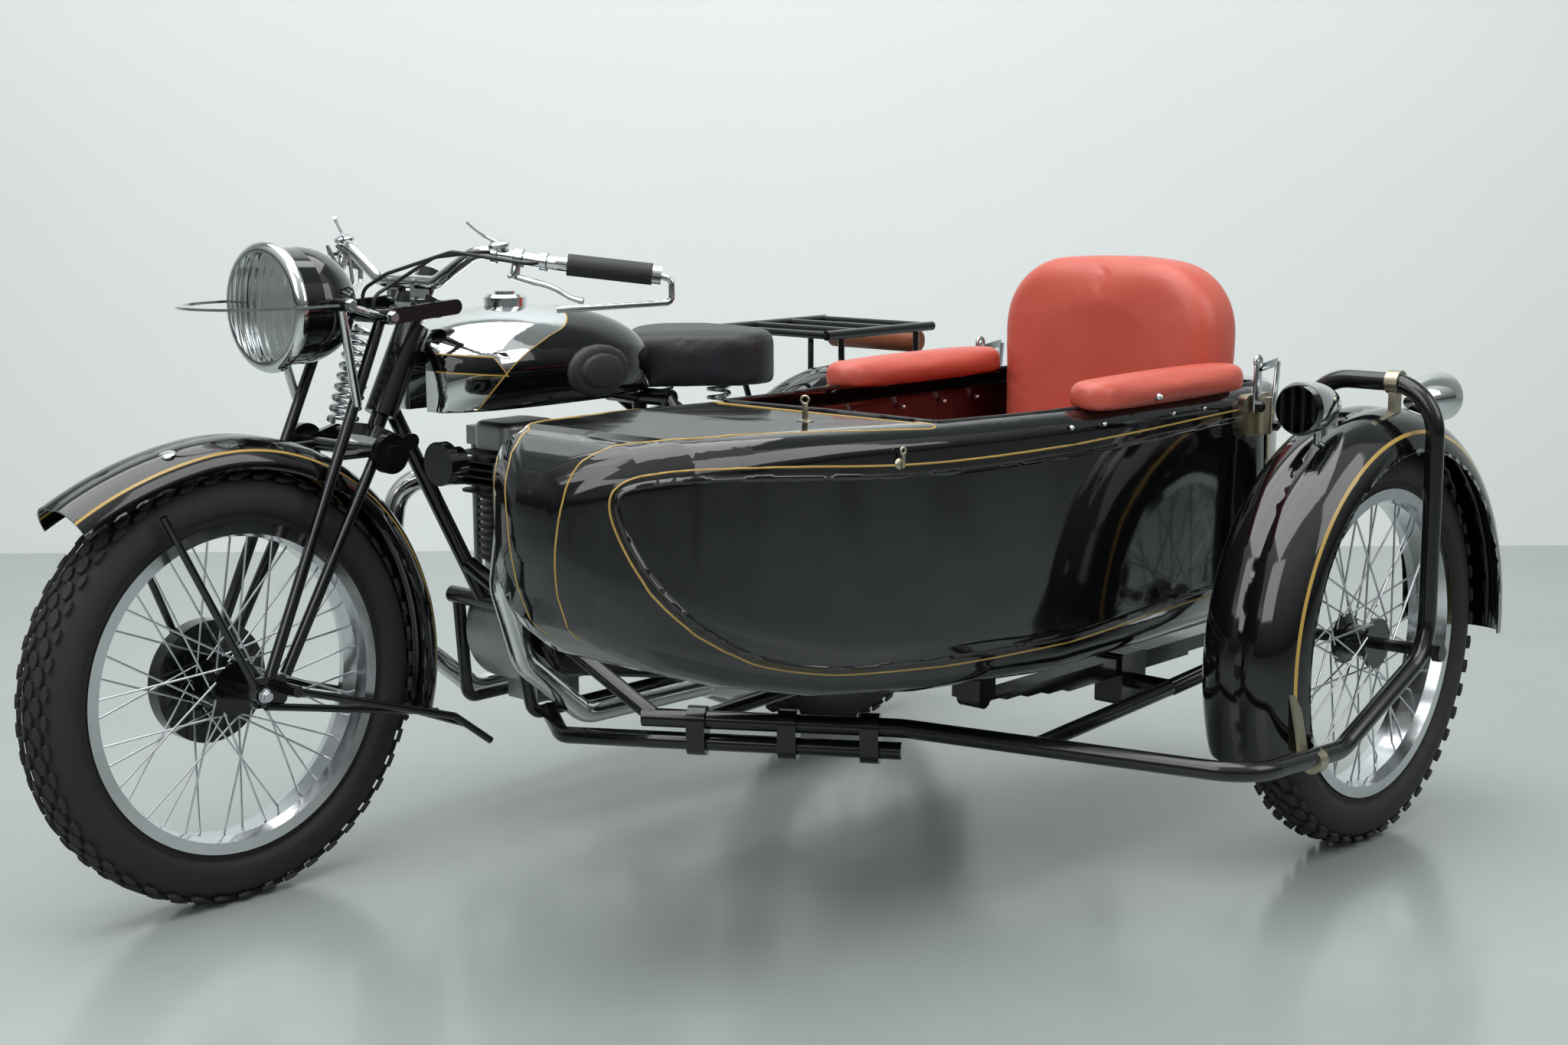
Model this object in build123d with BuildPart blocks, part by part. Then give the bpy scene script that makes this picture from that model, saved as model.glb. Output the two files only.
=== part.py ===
"""A 1930s single-cylinder motorcycle with a boat-shaped touring sidecar, in millimetres.

The machine faces -X, the sidecar stands at its left, toward -Y, and Z is up.
Places are first measured from the ground under the front axle, in the plane of the
motorcycle, and spot() moves them to the middle of the whole outfit.
"""
import os
from math import atan2, cos, radians, sin, tan

from build123d import *

# Driving sizes of the outfit
WHEELBASE = 1420
TRACK = 1146
TYRE_R = 334
TYRE_WIDTH = 94
RAKE = 27
TRAIL = 60
TUBE_R = 13
SMALL_TUBE_R = 9
SHEET = 2.5
SEAT_GAP = 0.3
RUN_GAP = 5
OVERRUN = 40

# Rims, spokes and hubs, alike on the three wheels
RIM_R = 255.5
RIM_WIDTH = 72
RIM_WALL = 3
RIM_DEPTH = 24
BEAD_DEPTH = 15
SPOKES_PER_SIDE = 20
SPOKE_R = 1.7
SPOKE_CROSSINGS = 3
FLANGE_SPAN = 56
FLANGE_R = 42
FLANGE_WALL = 6
HUB_R = 26
AXLE_R = 10
AXLE_NUT_R = 15
AXLE_NUT_WIDTH = 14
DRUM_R = 96
DRUM_WIDTH = 28
DRUM_NECK = 6
SHOULDER_SHARE = 0.38

# Girder fork, bars and lamp
FORK_HALF = 80
FORK_TOP_HALF = 68
FORK_TOP_Z = 885
FORK_TOP_X = 266
FORK_KNEE_Z = 676
FORK_KNEE_X = 240
FORK_LUG_LENGTH = 62
FORK_LUG_HEIGHT = 46
FORK_LUG_WALL = 10
LINK_WIDTH = 12
LINK_HEIGHT = 24
DISC_R = 31
DISC_WIDTH = 16
STEM_R = 14
HEAD_LUG_R = 26
HEAD_LOW_Z = 722
HEAD_HIGH_Z = 862
STEM_LOW_Z = 690
STEM_HIGH_Z = 930
YOKE_THICKNESS = 20
KNOB_R = 24
KNOB_HEIGHT = 18
SPRING_R = 27
SPRING_WIRE_R = 5
SPRING_COILS = 10
BAR_R = 11
BAR_HALF = 376
BAR_GRIP_START = 270
BAR_Z = 966
BAR_END_Z = 948
BAR_RISE_X = 380
BAR_RISE_HALF = 165
BAR_RISE_Z = 985
BAR_CLAMP_X = 372
BAR_CLAMP_HALF = 70
BAR_CLAMP_Z = 932
BAR_GRIP_X = 450
BAR_END_X = 555
BAR_BEND_R = 45
GRIP_R = 17
LEVER_R = 5
LEVER_DROP = 40
LEVER_TIP_DROP = 72
LEVER_REACH = 16
LAMP_R = 100
LAMP_LENGTH = 140
LAMP_X = 92
LAMP_Z = 905
LAMP_RIM = 16
LENS_BULGE = 16
LOOP_X = 78
LOOP_Z = 910
LOOP_HALF = 108
LOOP_WIDTH = 12
LOOP_WALL = 4
LAMP_BOSS_X = 170
LAMP_BOSS_R = 11

# Mudguards: the crown's radius, half width and depth of the rolled sides
GUARD_R = 383
GUARD_HALF = 60
GUARD_DEPTH = 46
CAR_GUARD_HALF = 90
CAR_GUARD_DEPTH = 62
STAY_R = 6

# Motorcycle frame
DOWN_TUBE_LOW = (512, 0, 388)
SADDLE_LUG = (884, 0, 705)
RAIL_HALF = 86
RAIL_R = 11
RAIL_Z = 200
RAIL_FRONT_X = 540
RAIL_REAR_X = 930
STAY_HALF = 92
SEAT_TUBE_LOW = (862, 0, 402)
DROPOUT_WALL = 8
DROPOUT_LENGTH = 90
DROPOUT_HEIGHT = 66

# Engine and gearbox
ENGINE_X = 612
ENGINE_Z = 328
CRANKCASE_R = 96
CRANKCASE_WIDTH = 110
CRANKCASE_DECK_Z = 448
BARREL_X = 590
BARREL_R = 44
FIN_R = 66
FIN_PITCH = 13
FIN_WALL = 3.2
BARREL_FINS = 9
HEAD_FINS = 6
HEAD_FIN_R = 78
ROCKER_HEIGHT = 46
ROCKER_WIDTH = 96
ROCKER_LENGTH = 120
GEARBOX_X = 822
GEARBOX_Z = 312
GEARBOX_LENGTH = 150
GEARBOX_HEIGHT = 148
GEARBOX_WIDTH = 104
PRIMARY_R = 70
CLUTCH_R = 96
PRIMARY_WIDTH = 44
TIMING_R = 68
TIMING_WIDTH = 40
MAGDYNO_X = 740
MAGDYNO_Z = 440
MAGDYNO_R = 38
MAGDYNO_LENGTH = 130
DYNAMO_R = 30
CARB_R = 24
CARB_LENGTH = 96
PORT_R = 22
PIPE_R = 19
PIPE_HALF = 146
PIPE_BEND_R = 62
SILENCER_R = 40
SILENCER_HALF = 158
SILENCER_Z = 198
SILENCER_FRONT_X = 880
SILENCER_REAR_X = 1330
FISHTAIL_LENGTH = 150
FISHTAIL_HEIGHT = 96
FISHTAIL_WIDTH = 20

# Tank, saddle and the rest of the motorcycle
TANK_FRONT_X = 384
TANK_REAR_X = 850
TANK_LOW_Z = 722
TANK_TOP_Z = 882
TANK_HALF = 132
TANK_TUNNEL_HALF = 24
KNEE_PAD_X = 660
KNEE_PAD_Z = 775
KNEE_PAD_LENGTH = 140
KNEE_PAD_HEIGHT = 88
KNEE_PAD_WALL = 14
CAP_R = 36
CAP_HEIGHT = 20
SADDLE_FRONT_X = 856
SADDLE_REAR_X = 1130
SADDLE_TOP_Z = 815
SADDLE_WALL = 62
SADDLE_HALF = 150
SADDLE_NOSE_HALF = 48
CARRIER_AHEAD = 185
CARRIER_X = WHEELBASE - CARRIER_AHEAD
CARRIER_LENGTH = 300
CARRIER_HALF = 140
CARRIER_Z = 796
CARRIER_TUBE_R = 9
CARRIER_BARS = 4
TOOL_ROLL_R = 24
TOOL_ROLL_LENGTH = 230
HORN_R = 36
HORN_LENGTH = 44
HORN_X = 376
HORN_Y = -58
HORN_Z = 640
OIL_TANK_LENGTH = 150
OIL_TANK_HEIGHT = 190
OIL_TANK_WIDTH = 78
REAR_LAMP_R = 30
REAR_LAMP_LENGTH = 50
STAND_HALF = 114
STAND_REACH = 374
STAND_R = 9
FOOTREST_R = 12
FOOTREST_LENGTH = 105
SPROCKET_R = 88
CHAIN_WIDTH = 12
CHAIN_WALL = 9

# Sidecar chassis
CHASSIS_Z = 240
FRONT_CROSS_X = 540
FRONT_CROSS_Y = -354
CROSS_BEND_X = 760
CROSS_BEND_Y = -712
OUTER_BEND_X = 890
HOOP_LOW_X = 1150
HOOP_Y = -1262
HOOP_TOP_Z = 765
HOOP_INNER_Y = -1030
CHASSIS_BEND_R = 80
INNER_RAIL_Y = -430
INNER_RAIL_FRONT_X = 590
OUTER_RAIL_FRONT_X = 812
OUTER_RAIL_Y = -930
UPPER_ARM_X = 476
UPPER_ARM_Z = 456
UPPER_ARM_SHARE = 0.05
LOW_ARM_X = 574
LOW_ARM_Z = 203
LOW_ARM_DIP_Z = 178
STRUT_X = 910
LINK_GAP = 2.5
REAR_CROSS_X = 1190
REAR_CROSS_Z = 262
CHASSIS_R = 15
ARM_R = 14
CLAMP_R = 22
CLAMP_WIDTH = 30
SPRING_Y = (-530, -830)
LEAF_WIDTH = 42
LEAF_WALL = 6
LEAF_COUNT = 5
LEAF_HALF = 400
LEAF_EYE_R = 16
LEAF_STEP_SHARE = 0.14

# Sidecar body
BODY_Y = -692
BODY_HALF = 272
BODY_NOSE_X = 20
BODY_TAIL_X = 1700
BODY_TOP_Z = 746
BODY_DECK_Z = 768
BODY_LOW_Z = 336
BODY_WALL = 6
MOUTH_INSET = 28
COCKPIT_FRONT_X = 604
COCKPIT_REAR_X = 1440
PANEL_WALL = 10
BACKREST_X = 1318
BACKREST_LOW_Z = 520
BACKREST_TOP_Z = 940
BACKREST_HALF = 205
BACKREST_WALL = 95
CUSHION_FRONT_X = 900
CUSHION_REAR_X = 1300
CUSHION_LOW_Z = 400
CUSHION_WALL = 120
ARMREST_LENGTH = 430
ARMREST_FRONT_X = 905
ARMREST_WALL = 40
ARMREST_WIDTH = 74
CAR_LAMP_R = 42
CAR_LAMP_LENGTH = 116
CAR_LAMP_AHEAD = 224
CAR_LAMP_BEHIND = 248
CAR_LAMP_Z = 738
TAIL_LAMP_BEHIND = 372
TAIL_LAMP_Z = 560
LENS_STEP = 9
CUSHION_HALF = 238
PAD_EDGE_R = 30
BACKREST_CORNER_R = 110
ARMREST_HALF = 248
BOARD_Z = 347
PANEL_FRONT_X = 640
DECK_INSET = 46
LOW_STRAP_X = 1069
CLAMP_LOW_Z = 225
STRAP_WIDTH = 22
STRAP_R = 19
STRAP_Y = -1190
BRACKET_X = 1372
BRACKET_Z = 700
BRACKET_LENGTH = 100
BRACKET_HEIGHT = 70
BRACKET_WALL = 8
SOCKET_R = 15
SOCKET_LENGTH = 60
BRACKET_BORE_R = 6

# The middle of the outfit, from which the finished part is measured
REAR_REACH = WHEELBASE + GUARD_R
MIDDLE_X = (REAR_REACH - TYRE_R) / 2
MIDDLE_Y = (BAR_HALF + GRIP_R + HOOP_Y - TUBE_R) / 2


def spot(x, y, z):
    """Return the place in the part's own frame."""
    return Vector(x - MIDDLE_X, y - MIDDLE_Y, z)


def side_plane(y, x=0, z=0):
    """Return a plane that looks toward -Y, its right toward +X and its top toward +Z."""
    return Plane(origin=spot(x, y, z), x_dir=(1, 0, 0), z_dir=(0, -1, 0))


def tube(points, radius, bend=0):
    """Add a round tube along the places, with its corners bent to one radius."""
    ends = [spot(*p) for p in points]
    with BuildLine() as route:
        if bend:
            FilletPolyline(*ends, radius=bend)
        else:
            Polyline(*ends)
    with BuildSketch(Plane(origin=ends[0], z_dir=ends[1] - ends[0])) as section:
        Circle(radius)
    sweep(sections=section.sketch, path=route.line)


def bar(start, end, radius):
    """Add a straight round bar between two places."""
    first, last = spot(*start), spot(*end)
    with BuildSketch(Plane(origin=first, z_dir=last - first)) as section:
        Circle(radius)
    extrude(section.sketch, amount=(last - first).length)


def mirrored(points, side):
    """Return the places with their distance from the middle plane on one side."""
    return [(x, side * y, z) for x, y, z in points]


def head_x(z):
    """Return where the steering axis is at a height."""
    return z * tan(radians(RAKE)) - TRAIL


def head_plane(z):
    """Return a plane square to the steering axis at a height."""
    return Plane(origin=spot(head_x(z), 0, z), x_dir=(0, 1, 0), z_dir=(sin(radians(RAKE)), 0, cos(radians(RAKE))))


os.makedirs("parts", exist_ok=True)


def keep(node, name):
    """Label a finished piece and write its file."""
    node.part.label = name
    export_step(node.part, f"parts/{name}.step")


# Wheels: name, share of the wheelbase behind the front axle, share of the track, drum side
WHEEL_SHARES = [("front", 0, 0, 1), ("rear", 1, 0, -1), ("sidecar", 1, -1, 0)]


def wheel_plane(x, y):
    """Return the radial plane above an axle: its right is the axle's -Y, its top is up."""
    return Plane(origin=spot(x, y, TYRE_R), x_dir=(0, -1, 0), z_dir=(-1, 0, 0))


def around(x, y):
    """Return a wheel's own axis."""
    return Axis(spot(x, y, TYRE_R), (0, 1, 0))


def spoke_places(x, y, side, parity):
    """Return the places and the length of one flange's spokes that lean the same way."""
    hub_y = side * FLANGE_SPAN / 2 + side * parity * (SPOKE_R + FLANGE_WALL / 2)
    rim_y = side * (RIM_WALL + SPOKE_R) + side * parity * SPOKE_R * 1.5
    pitch = 360 / SPOKES_PER_SIDE
    places = []
    for k in range(SPOKES_PER_SIDE // 2):
        hub_turn = radians(pitch * 2 * k + side * pitch / 4 + (parity + 1) * pitch / 2)
        rim_turn = hub_turn + radians(parity * pitch * SPOKE_CROSSINGS)
        low_r = FLANGE_R
        high_r = RIM_R - RIM_DEPTH + RIM_WALL / 2
        low = Vector(low_r * cos(hub_turn), hub_y, low_r * sin(hub_turn))
        high = Vector(high_r * cos(rim_turn), rim_y, high_r * sin(rim_turn))
        centre = spot(x, y, TYRE_R)
        middle = centre + (low + high) / 2
        places.append(Plane(origin=middle, z_dir=high - low).location)
    return places, (high - low).length


bead_half = RIM_WIDTH / 2 - RIM_WALL - SEAT_GAP
bed_r = RIM_R - BEAD_DEPTH + SEAT_GAP
belly_r = (RIM_R + TYRE_R) / 2
shoulder_r = TYRE_R - TYRE_WIDTH / 8
shoulder_half = TYRE_WIDTH * SHOULDER_SHARE
with BuildPart() as tyre:
    with BuildSketch(wheel_plane(0, 0)):
        with BuildLine():
            Line((-bead_half, bed_r), (bead_half, bed_r))
            Line((bead_half, bed_r), (bead_half, RIM_R))
            ThreePointArc((bead_half, RIM_R), (TYRE_WIDTH / 2, belly_r), (shoulder_half, shoulder_r))
            ThreePointArc((shoulder_half, shoulder_r), (0, TYRE_R), (-shoulder_half, shoulder_r))
            ThreePointArc((-shoulder_half, shoulder_r), (-TYRE_WIDTH / 2, belly_r), (-bead_half, RIM_R))
            Line((-bead_half, RIM_R), (-bead_half, bed_r))
        make_face()
    revolve(axis=around(0, 0))

with BuildPart() as rim:
    edge, bed = RIM_WIDTH / 2, RIM_R - BEAD_DEPTH
    well_half = RIM_WIDTH / 5
    well_r = RIM_R - RIM_DEPTH
    with BuildSketch(wheel_plane(0, 0)):
        Polygon(
            (-edge, RIM_R), (-edge + RIM_WALL, RIM_R), (-edge + RIM_WALL, bed),
            (-well_half, well_r + RIM_WALL), (well_half, well_r + RIM_WALL),
            (edge - RIM_WALL, bed), (edge - RIM_WALL, RIM_R), (edge, RIM_R),
            (edge, bed - RIM_WALL), (well_half + RIM_WALL, well_r),
            (-well_half - RIM_WALL, well_r), (-edge, bed - RIM_WALL),
            align=None,
        )
    revolve(axis=around(0, 0))
    for side in (-1, 1):
        for parity in (-1, 1):
            places, length = spoke_places(0, 0, side, parity)
            with Locations(*places):
                Cylinder(SPOKE_R, length)

for name, base_share, track_share, drum in WHEEL_SHARES:
    x, y = base_share * WHEELBASE, track_share * TRACK
    for piece, kind in ((tyre, "tyre"), (rim, "rim")):
        with BuildPart() as copy:
            with Locations((x, y, 0)):
                add(piece.part)
        keep(copy, f"{name}_{kind}")

    with BuildPart() as hub:
        with BuildSketch(wheel_plane(x, y)):
            half = FLANGE_SPAN / 2
            Polygon(
                (-half - FLANGE_WALL / 2, AXLE_R + SEAT_GAP), (-half - FLANGE_WALL / 2, FLANGE_R - SEAT_GAP),
                (-half + FLANGE_WALL / 2, FLANGE_R - SEAT_GAP), (-half + FLANGE_WALL, HUB_R),
                (half - FLANGE_WALL, HUB_R), (half - FLANGE_WALL / 2, FLANGE_R - SEAT_GAP),
                (half + FLANGE_WALL / 2, FLANGE_R - SEAT_GAP), (half + FLANGE_WALL / 2, AXLE_R + SEAT_GAP),
                align=None,
            )
            if drum:
                neck = -drum * (half + FLANGE_WALL / 2)
                inner, outer = neck - drum * DRUM_NECK, neck - drum * (DRUM_NECK + DRUM_WIDTH)
                bore_r = AXLE_R + SEAT_GAP
                Polygon(
                    (neck, bore_r), (neck, HUB_R), (inner, HUB_R), (inner, DRUM_R),
                    (outer, DRUM_R), (outer, bore_r), align=None,
                )
            if drum < 0:
                Polygon(
                    (outer, bore_r), (outer, SPROCKET_R - RUN_GAP), (outer + CHAIN_WIDTH, SPROCKET_R - RUN_GAP),
                    (outer + CHAIN_WIDTH, bore_r), align=None,
                )
        revolve(axis=around(x, y))
    keep(hub, f"{name}_hub")

# Steering: the girder fork, its links and spring, the bars, the lamp and the mudguard
def rib(width, height, thickness, plane, radius=0):
    """Add a plate with rounded corners, centred on a plane and as thick on both its sides."""
    with BuildSketch(plane) as face:
        if radius:
            RectangleRounded(width, height, radius)
        else:
            Rectangle(width, height)
    extrude(face.sketch, amount=thickness / 2, both=True)


FORK_FOOT_X = 25
FORK_HEEL_X = 53
FORK_FOOT_RISE = 20
FORK_CROSS_R = 11
FORK_BRACE_R = 7
with BuildPart() as girder_fork:
    for side in (-1, 1):
        foot = (FORK_FOOT_X, side * FORK_HALF, TYRE_R + FORK_FOOT_RISE)
        heel = (FORK_HEEL_X, side * FORK_HALF, TYRE_R + FORK_FOOT_RISE)
        top = (FORK_TOP_X, side * FORK_TOP_HALF, FORK_TOP_Z)
        knee = (FORK_KNEE_X, side * FORK_HALF, FORK_KNEE_Z)
        bar(foot, top, SMALL_TUBE_R)
        bar(heel, knee, SMALL_TUBE_R)
        rib(FORK_LUG_LENGTH, FORK_LUG_HEIGHT, FORK_LUG_WALL,
            side_plane(side * FORK_HALF, FORK_LUG_LENGTH / 3, TYRE_R), FORK_LUG_WALL)
    share = (FORK_KNEE_Z - TYRE_R - FORK_FOOT_RISE) / (FORK_TOP_Z - TYRE_R - FORK_FOOT_RISE)
    brace_x = FORK_FOOT_X + share * (FORK_TOP_X - FORK_FOOT_X)
    brace_y = FORK_HALF + share * (FORK_TOP_HALF - FORK_HALF)
    for z, x, half in ((FORK_TOP_Z, FORK_TOP_X, FORK_TOP_HALF), (FORK_KNEE_Z, FORK_KNEE_X, FORK_HALF)):
        bar((x, -half - LINK_WIDTH, z), (x, half + LINK_WIDTH, z), FORK_CROSS_R)
    for side in (-1, 1):
        bar((brace_x, side * brace_y, FORK_KNEE_Z), (FORK_KNEE_X, side * FORK_HALF, FORK_KNEE_Z), FORK_BRACE_R)
    reach = FORK_HALF + FORK_LUG_WALL / 2
    bar((0, -reach, TYRE_R), (0, reach, TYRE_R), AXLE_R)
    for side in (-1, 1):
        with BuildSketch(side_plane(side * reach, 0, TYRE_R)) as nut:
            RegularPolygon(AXLE_NUT_R, 6)
        extrude(nut.sketch, amount=-side * AXLE_NUT_WIDTH)
keep(girder_fork, "girder_fork")

# Links: height at the fork and place there, height at the stem, half spacing of the pair
LINKS = [
    (FORK_TOP_X, FORK_TOP_Z, STEM_HIGH_Z - KNOB_HEIGHT * 2, FORK_TOP_HALF),
    (FORK_KNEE_X, FORK_KNEE_Z, STEM_LOW_Z, FORK_HALF),
]
with BuildPart() as fork_links:
    bar((head_x(STEM_LOW_Z), 0, STEM_LOW_Z), (head_x(STEM_HIGH_Z), 0, STEM_HIGH_Z), STEM_R)
    for fork_x, fork_z, stem_z, half in LINKS:
        with BuildSketch(head_plane(stem_z)) as yoke:
            RectangleRounded(half * 1.2, HEAD_LUG_R * 2.4, HEAD_LUG_R)
        extrude(yoke.sketch, amount=YOKE_THICKNESS / 2, both=True)
        for side in (-1, 1):
            y = side * (half + LINK_WIDTH * 1.5 + SEAT_GAP)
            first, last = spot(fork_x, y, fork_z), spot(head_x(stem_z), y, stem_z)
            with BuildSketch(Plane(origin=(first + last) / 2, x_dir=last - first, z_dir=(0, -1, 0))) as link:
                SlotOverall((last - first).length + LINK_HEIGHT, LINK_HEIGHT)
            extrude(link.sketch, amount=LINK_WIDTH / 2, both=True)
        reach = half + LINK_WIDTH * 2
        bar((head_x(stem_z), -reach, stem_z), (head_x(stem_z), reach, stem_z), SMALL_TUBE_R)
    with BuildSketch(head_plane(STEM_HIGH_Z)) as knob:
        RegularPolygon(KNOB_R, 8)
    extrude(knob.sketch, amount=KNOB_HEIGHT)
    for side in (-1, 1):
        y = side * (FORK_HALF + LINK_WIDTH * 2)
        with BuildSketch(side_plane(y, FORK_KNEE_X, FORK_KNEE_Z)) as disc:
            Circle(DISC_R)
        extrude(disc.sketch, amount=-side * DISC_WIDTH)
        with BuildSketch(side_plane(y + side * DISC_WIDTH, FORK_KNEE_X, FORK_KNEE_Z)) as boss:
            RegularPolygon(DISC_R / 2, 6)
        extrude(boss.sketch, amount=-side * DISC_WIDTH / 2)
keep(fork_links, "fork_links")

SPRING_LOW_X, SPRING_LOW_Z = 232, 712
SPRING_HIGH_X, SPRING_HIGH_Z = 284, 868
low, high = spot(SPRING_LOW_X, 0, SPRING_LOW_Z), spot(SPRING_HIGH_X, 0, SPRING_HIGH_Z)
spring_plane = Plane(origin=low, x_dir=(0, 1, 0), z_dir=high - low)
with BuildPart() as fork_spring:
    rise = (high - low).length / SPRING_COILS
    core = SPRING_R - 2 * SPRING_WIRE_R
    with BuildSketch(Plane(origin=low, x_dir=(0, 1, 0), z_dir=spring_plane.y_dir * -1)) as coils:
        Rectangle(core, rise * SPRING_COILS, align=(Align.MIN, Align.MIN))
        for k in range(SPRING_COILS):
            with Locations((core, (k + 0.5) * rise)):
                Circle(rise / 2 - SEAT_GAP)
        with Locations((0, 0)):
            Rectangle(core * 3, rise * (SPRING_COILS + 2), align=(Align.MAX, Align.MIN), mode=Mode.SUBTRACT)
    revolve(coils.sketch, axis=Axis(low, high - low))
keep(fork_spring, "fork_spring")

# Bars: the places of one side, from the end toward the middle
BAR_SIDE = [
    (BAR_END_X, BAR_HALF, BAR_END_Z),
    (BAR_GRIP_X, BAR_GRIP_START, BAR_Z),
    (BAR_RISE_X, BAR_RISE_HALF, BAR_RISE_Z),
    (BAR_CLAMP_X, BAR_CLAMP_HALF, BAR_CLAMP_Z),
]
def along(start, end, share, drop=0):
    """Return the place at a share of the way between two places, and lower by the drop."""
    x, y, z = (a + share * (b - a) for a, b in zip(start, end))
    return x, y, z - drop


BAR_CLAMP_Y = 30
BAR_CLAMP_LENGTH = 30
BAR_CLAMP_HEIGHT = 34
with BuildPart() as handlebar:
    tube(mirrored(BAR_SIDE, -1) + mirrored(BAR_SIDE, 1)[::-1], BAR_R, BAR_BEND_R)
    for side in (-1, 1):
        with BuildSketch(side_plane(side * BAR_CLAMP_Y, BAR_CLAMP_X, BAR_CLAMP_Z - BAR_R)) as clamp:
            RectangleRounded(BAR_CLAMP_LENGTH, BAR_CLAMP_HEIGHT, LEVER_R)
        extrude(clamp.sketch, amount=BAR_R / 2, both=True)
    for side in (-1, 1):
        end, start = mirrored(BAR_SIDE[:2], side)
        length = BAR_HALF - BAR_GRIP_START
        out = LEVER_R / length
        far = (LEVER_REACH + LEVER_R) / length
        tube([along(start, end, 1 + out), along(start, end, 1 + far, LEVER_R),
              along(start, end, 1 + far, LEVER_DROP), along(start, end, 0, LEVER_TIP_DROP)], LEVER_R, LEVER_R * 2)
        bar(along(start, end, 1), along(start, end, 1 + 2 * out), GRIP_R - LEVER_R / 2)
    add(fork_links.part, mode=Mode.SUBTRACT)
keep(handlebar, "handlebar")

GRIP_START_SHARE = 0.12
with BuildPart() as grips:
    for side in (-1, 1):
        end, start = mirrored(BAR_SIDE[:2], side)
        bar(along(start, end, GRIP_START_SHARE), along(start, end, 1), GRIP_R)
    add(handlebar.part, mode=Mode.SUBTRACT)
keep(grips, "grips")

# Headlamp: profiles in the plane of the machine, turned about the lamp's own axis
lamp_axis = Axis(spot(0, 0, LAMP_Z), (1, 0, 0))
LAMP_BOWL_DEPTH = 105
LAMP_SKIRT = 40


def dome_middle(step, edge_r, depth):
    """Return a point halfway along an arc centred on the axis, from an edge to a depth."""
    reach = depth - step
    way = reach / abs(reach)
    centre = step + (reach * reach - edge_r * edge_r) / (2 * reach)
    turn = atan2(edge_r, way * (step - centre)) / 2
    radius = abs(depth - centre)
    return centre + way * radius * cos(turn), radius * sin(turn)


with BuildPart() as headlamp_shell:
    with BuildSketch(side_plane(0, LAMP_X + LAMP_RIM, LAMP_Z)) as shell:
        with BuildLine():
            outer = LAMP_R - LAMP_RIM / 2
            inner = outer - SHEET
            skirt_r = outer - SHEET
            Line((0, outer), (0, inner))
            ThreePointArc((0, inner), dome_middle(0, inner, LAMP_BOWL_DEPTH), (LAMP_BOWL_DEPTH, 0))
            Line((LAMP_BOWL_DEPTH, 0), (LAMP_LENGTH, 0))
            ThreePointArc((LAMP_LENGTH, 0), dome_middle(LAMP_SKIRT, skirt_r, LAMP_LENGTH), (LAMP_SKIRT, skirt_r))
            Line((LAMP_SKIRT, skirt_r), (0, outer))
        make_face()
    revolve(shell.sketch, axis=lamp_axis)
    bar((LAMP_BOSS_X, -LOOP_HALF - LOOP_WIDTH, LOOP_Z), (LAMP_BOSS_X, -LAMP_R * 0.7, LOOP_Z), LAMP_BOSS_R)
    bar((LAMP_BOSS_X, LAMP_R * 0.7, LOOP_Z), (LAMP_BOSS_X, LOOP_HALF + LOOP_WIDTH, LOOP_Z), LAMP_BOSS_R)
keep(headlamp_shell, "headlamp_shell")

with BuildPart() as headlamp_rim:
    with BuildSketch(side_plane(0, LAMP_X, LAMP_Z)) as hoop:
        with BuildLine():
            outer, glass_r = LAMP_R, LAMP_R - LAMP_RIM
            Line((LAMP_RIM, glass_r), (0, glass_r))
            ThreePointArc((0, glass_r), (LAMP_RIM * 0.15, outer - LAMP_RIM * 0.3), (LAMP_RIM, outer))
            Line((LAMP_RIM, outer), (LAMP_RIM, glass_r))
        make_face()
    revolve(hoop.sketch, axis=lamp_axis)

with BuildPart() as headlamp_lens:
    with BuildSketch(side_plane(0, LAMP_X, LAMP_Z)) as dome:
        with BuildLine():
            edge_r = LAMP_R - LAMP_RIM
            inner = SHEET - LENS_BULGE
            ThreePointArc((0, edge_r), dome_middle(0, edge_r, -LENS_BULGE), (-LENS_BULGE, 0))
            Line((-LENS_BULGE, 0), (inner, 0))
            ThreePointArc((inner, 0), dome_middle(SHEET, edge_r, inner), (SHEET, edge_r))
            Line((SHEET, edge_r), (0, edge_r))
        make_face()
    revolve(dome.sketch, axis=lamp_axis)
keep(headlamp_lens, "headlamp_lens")

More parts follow.
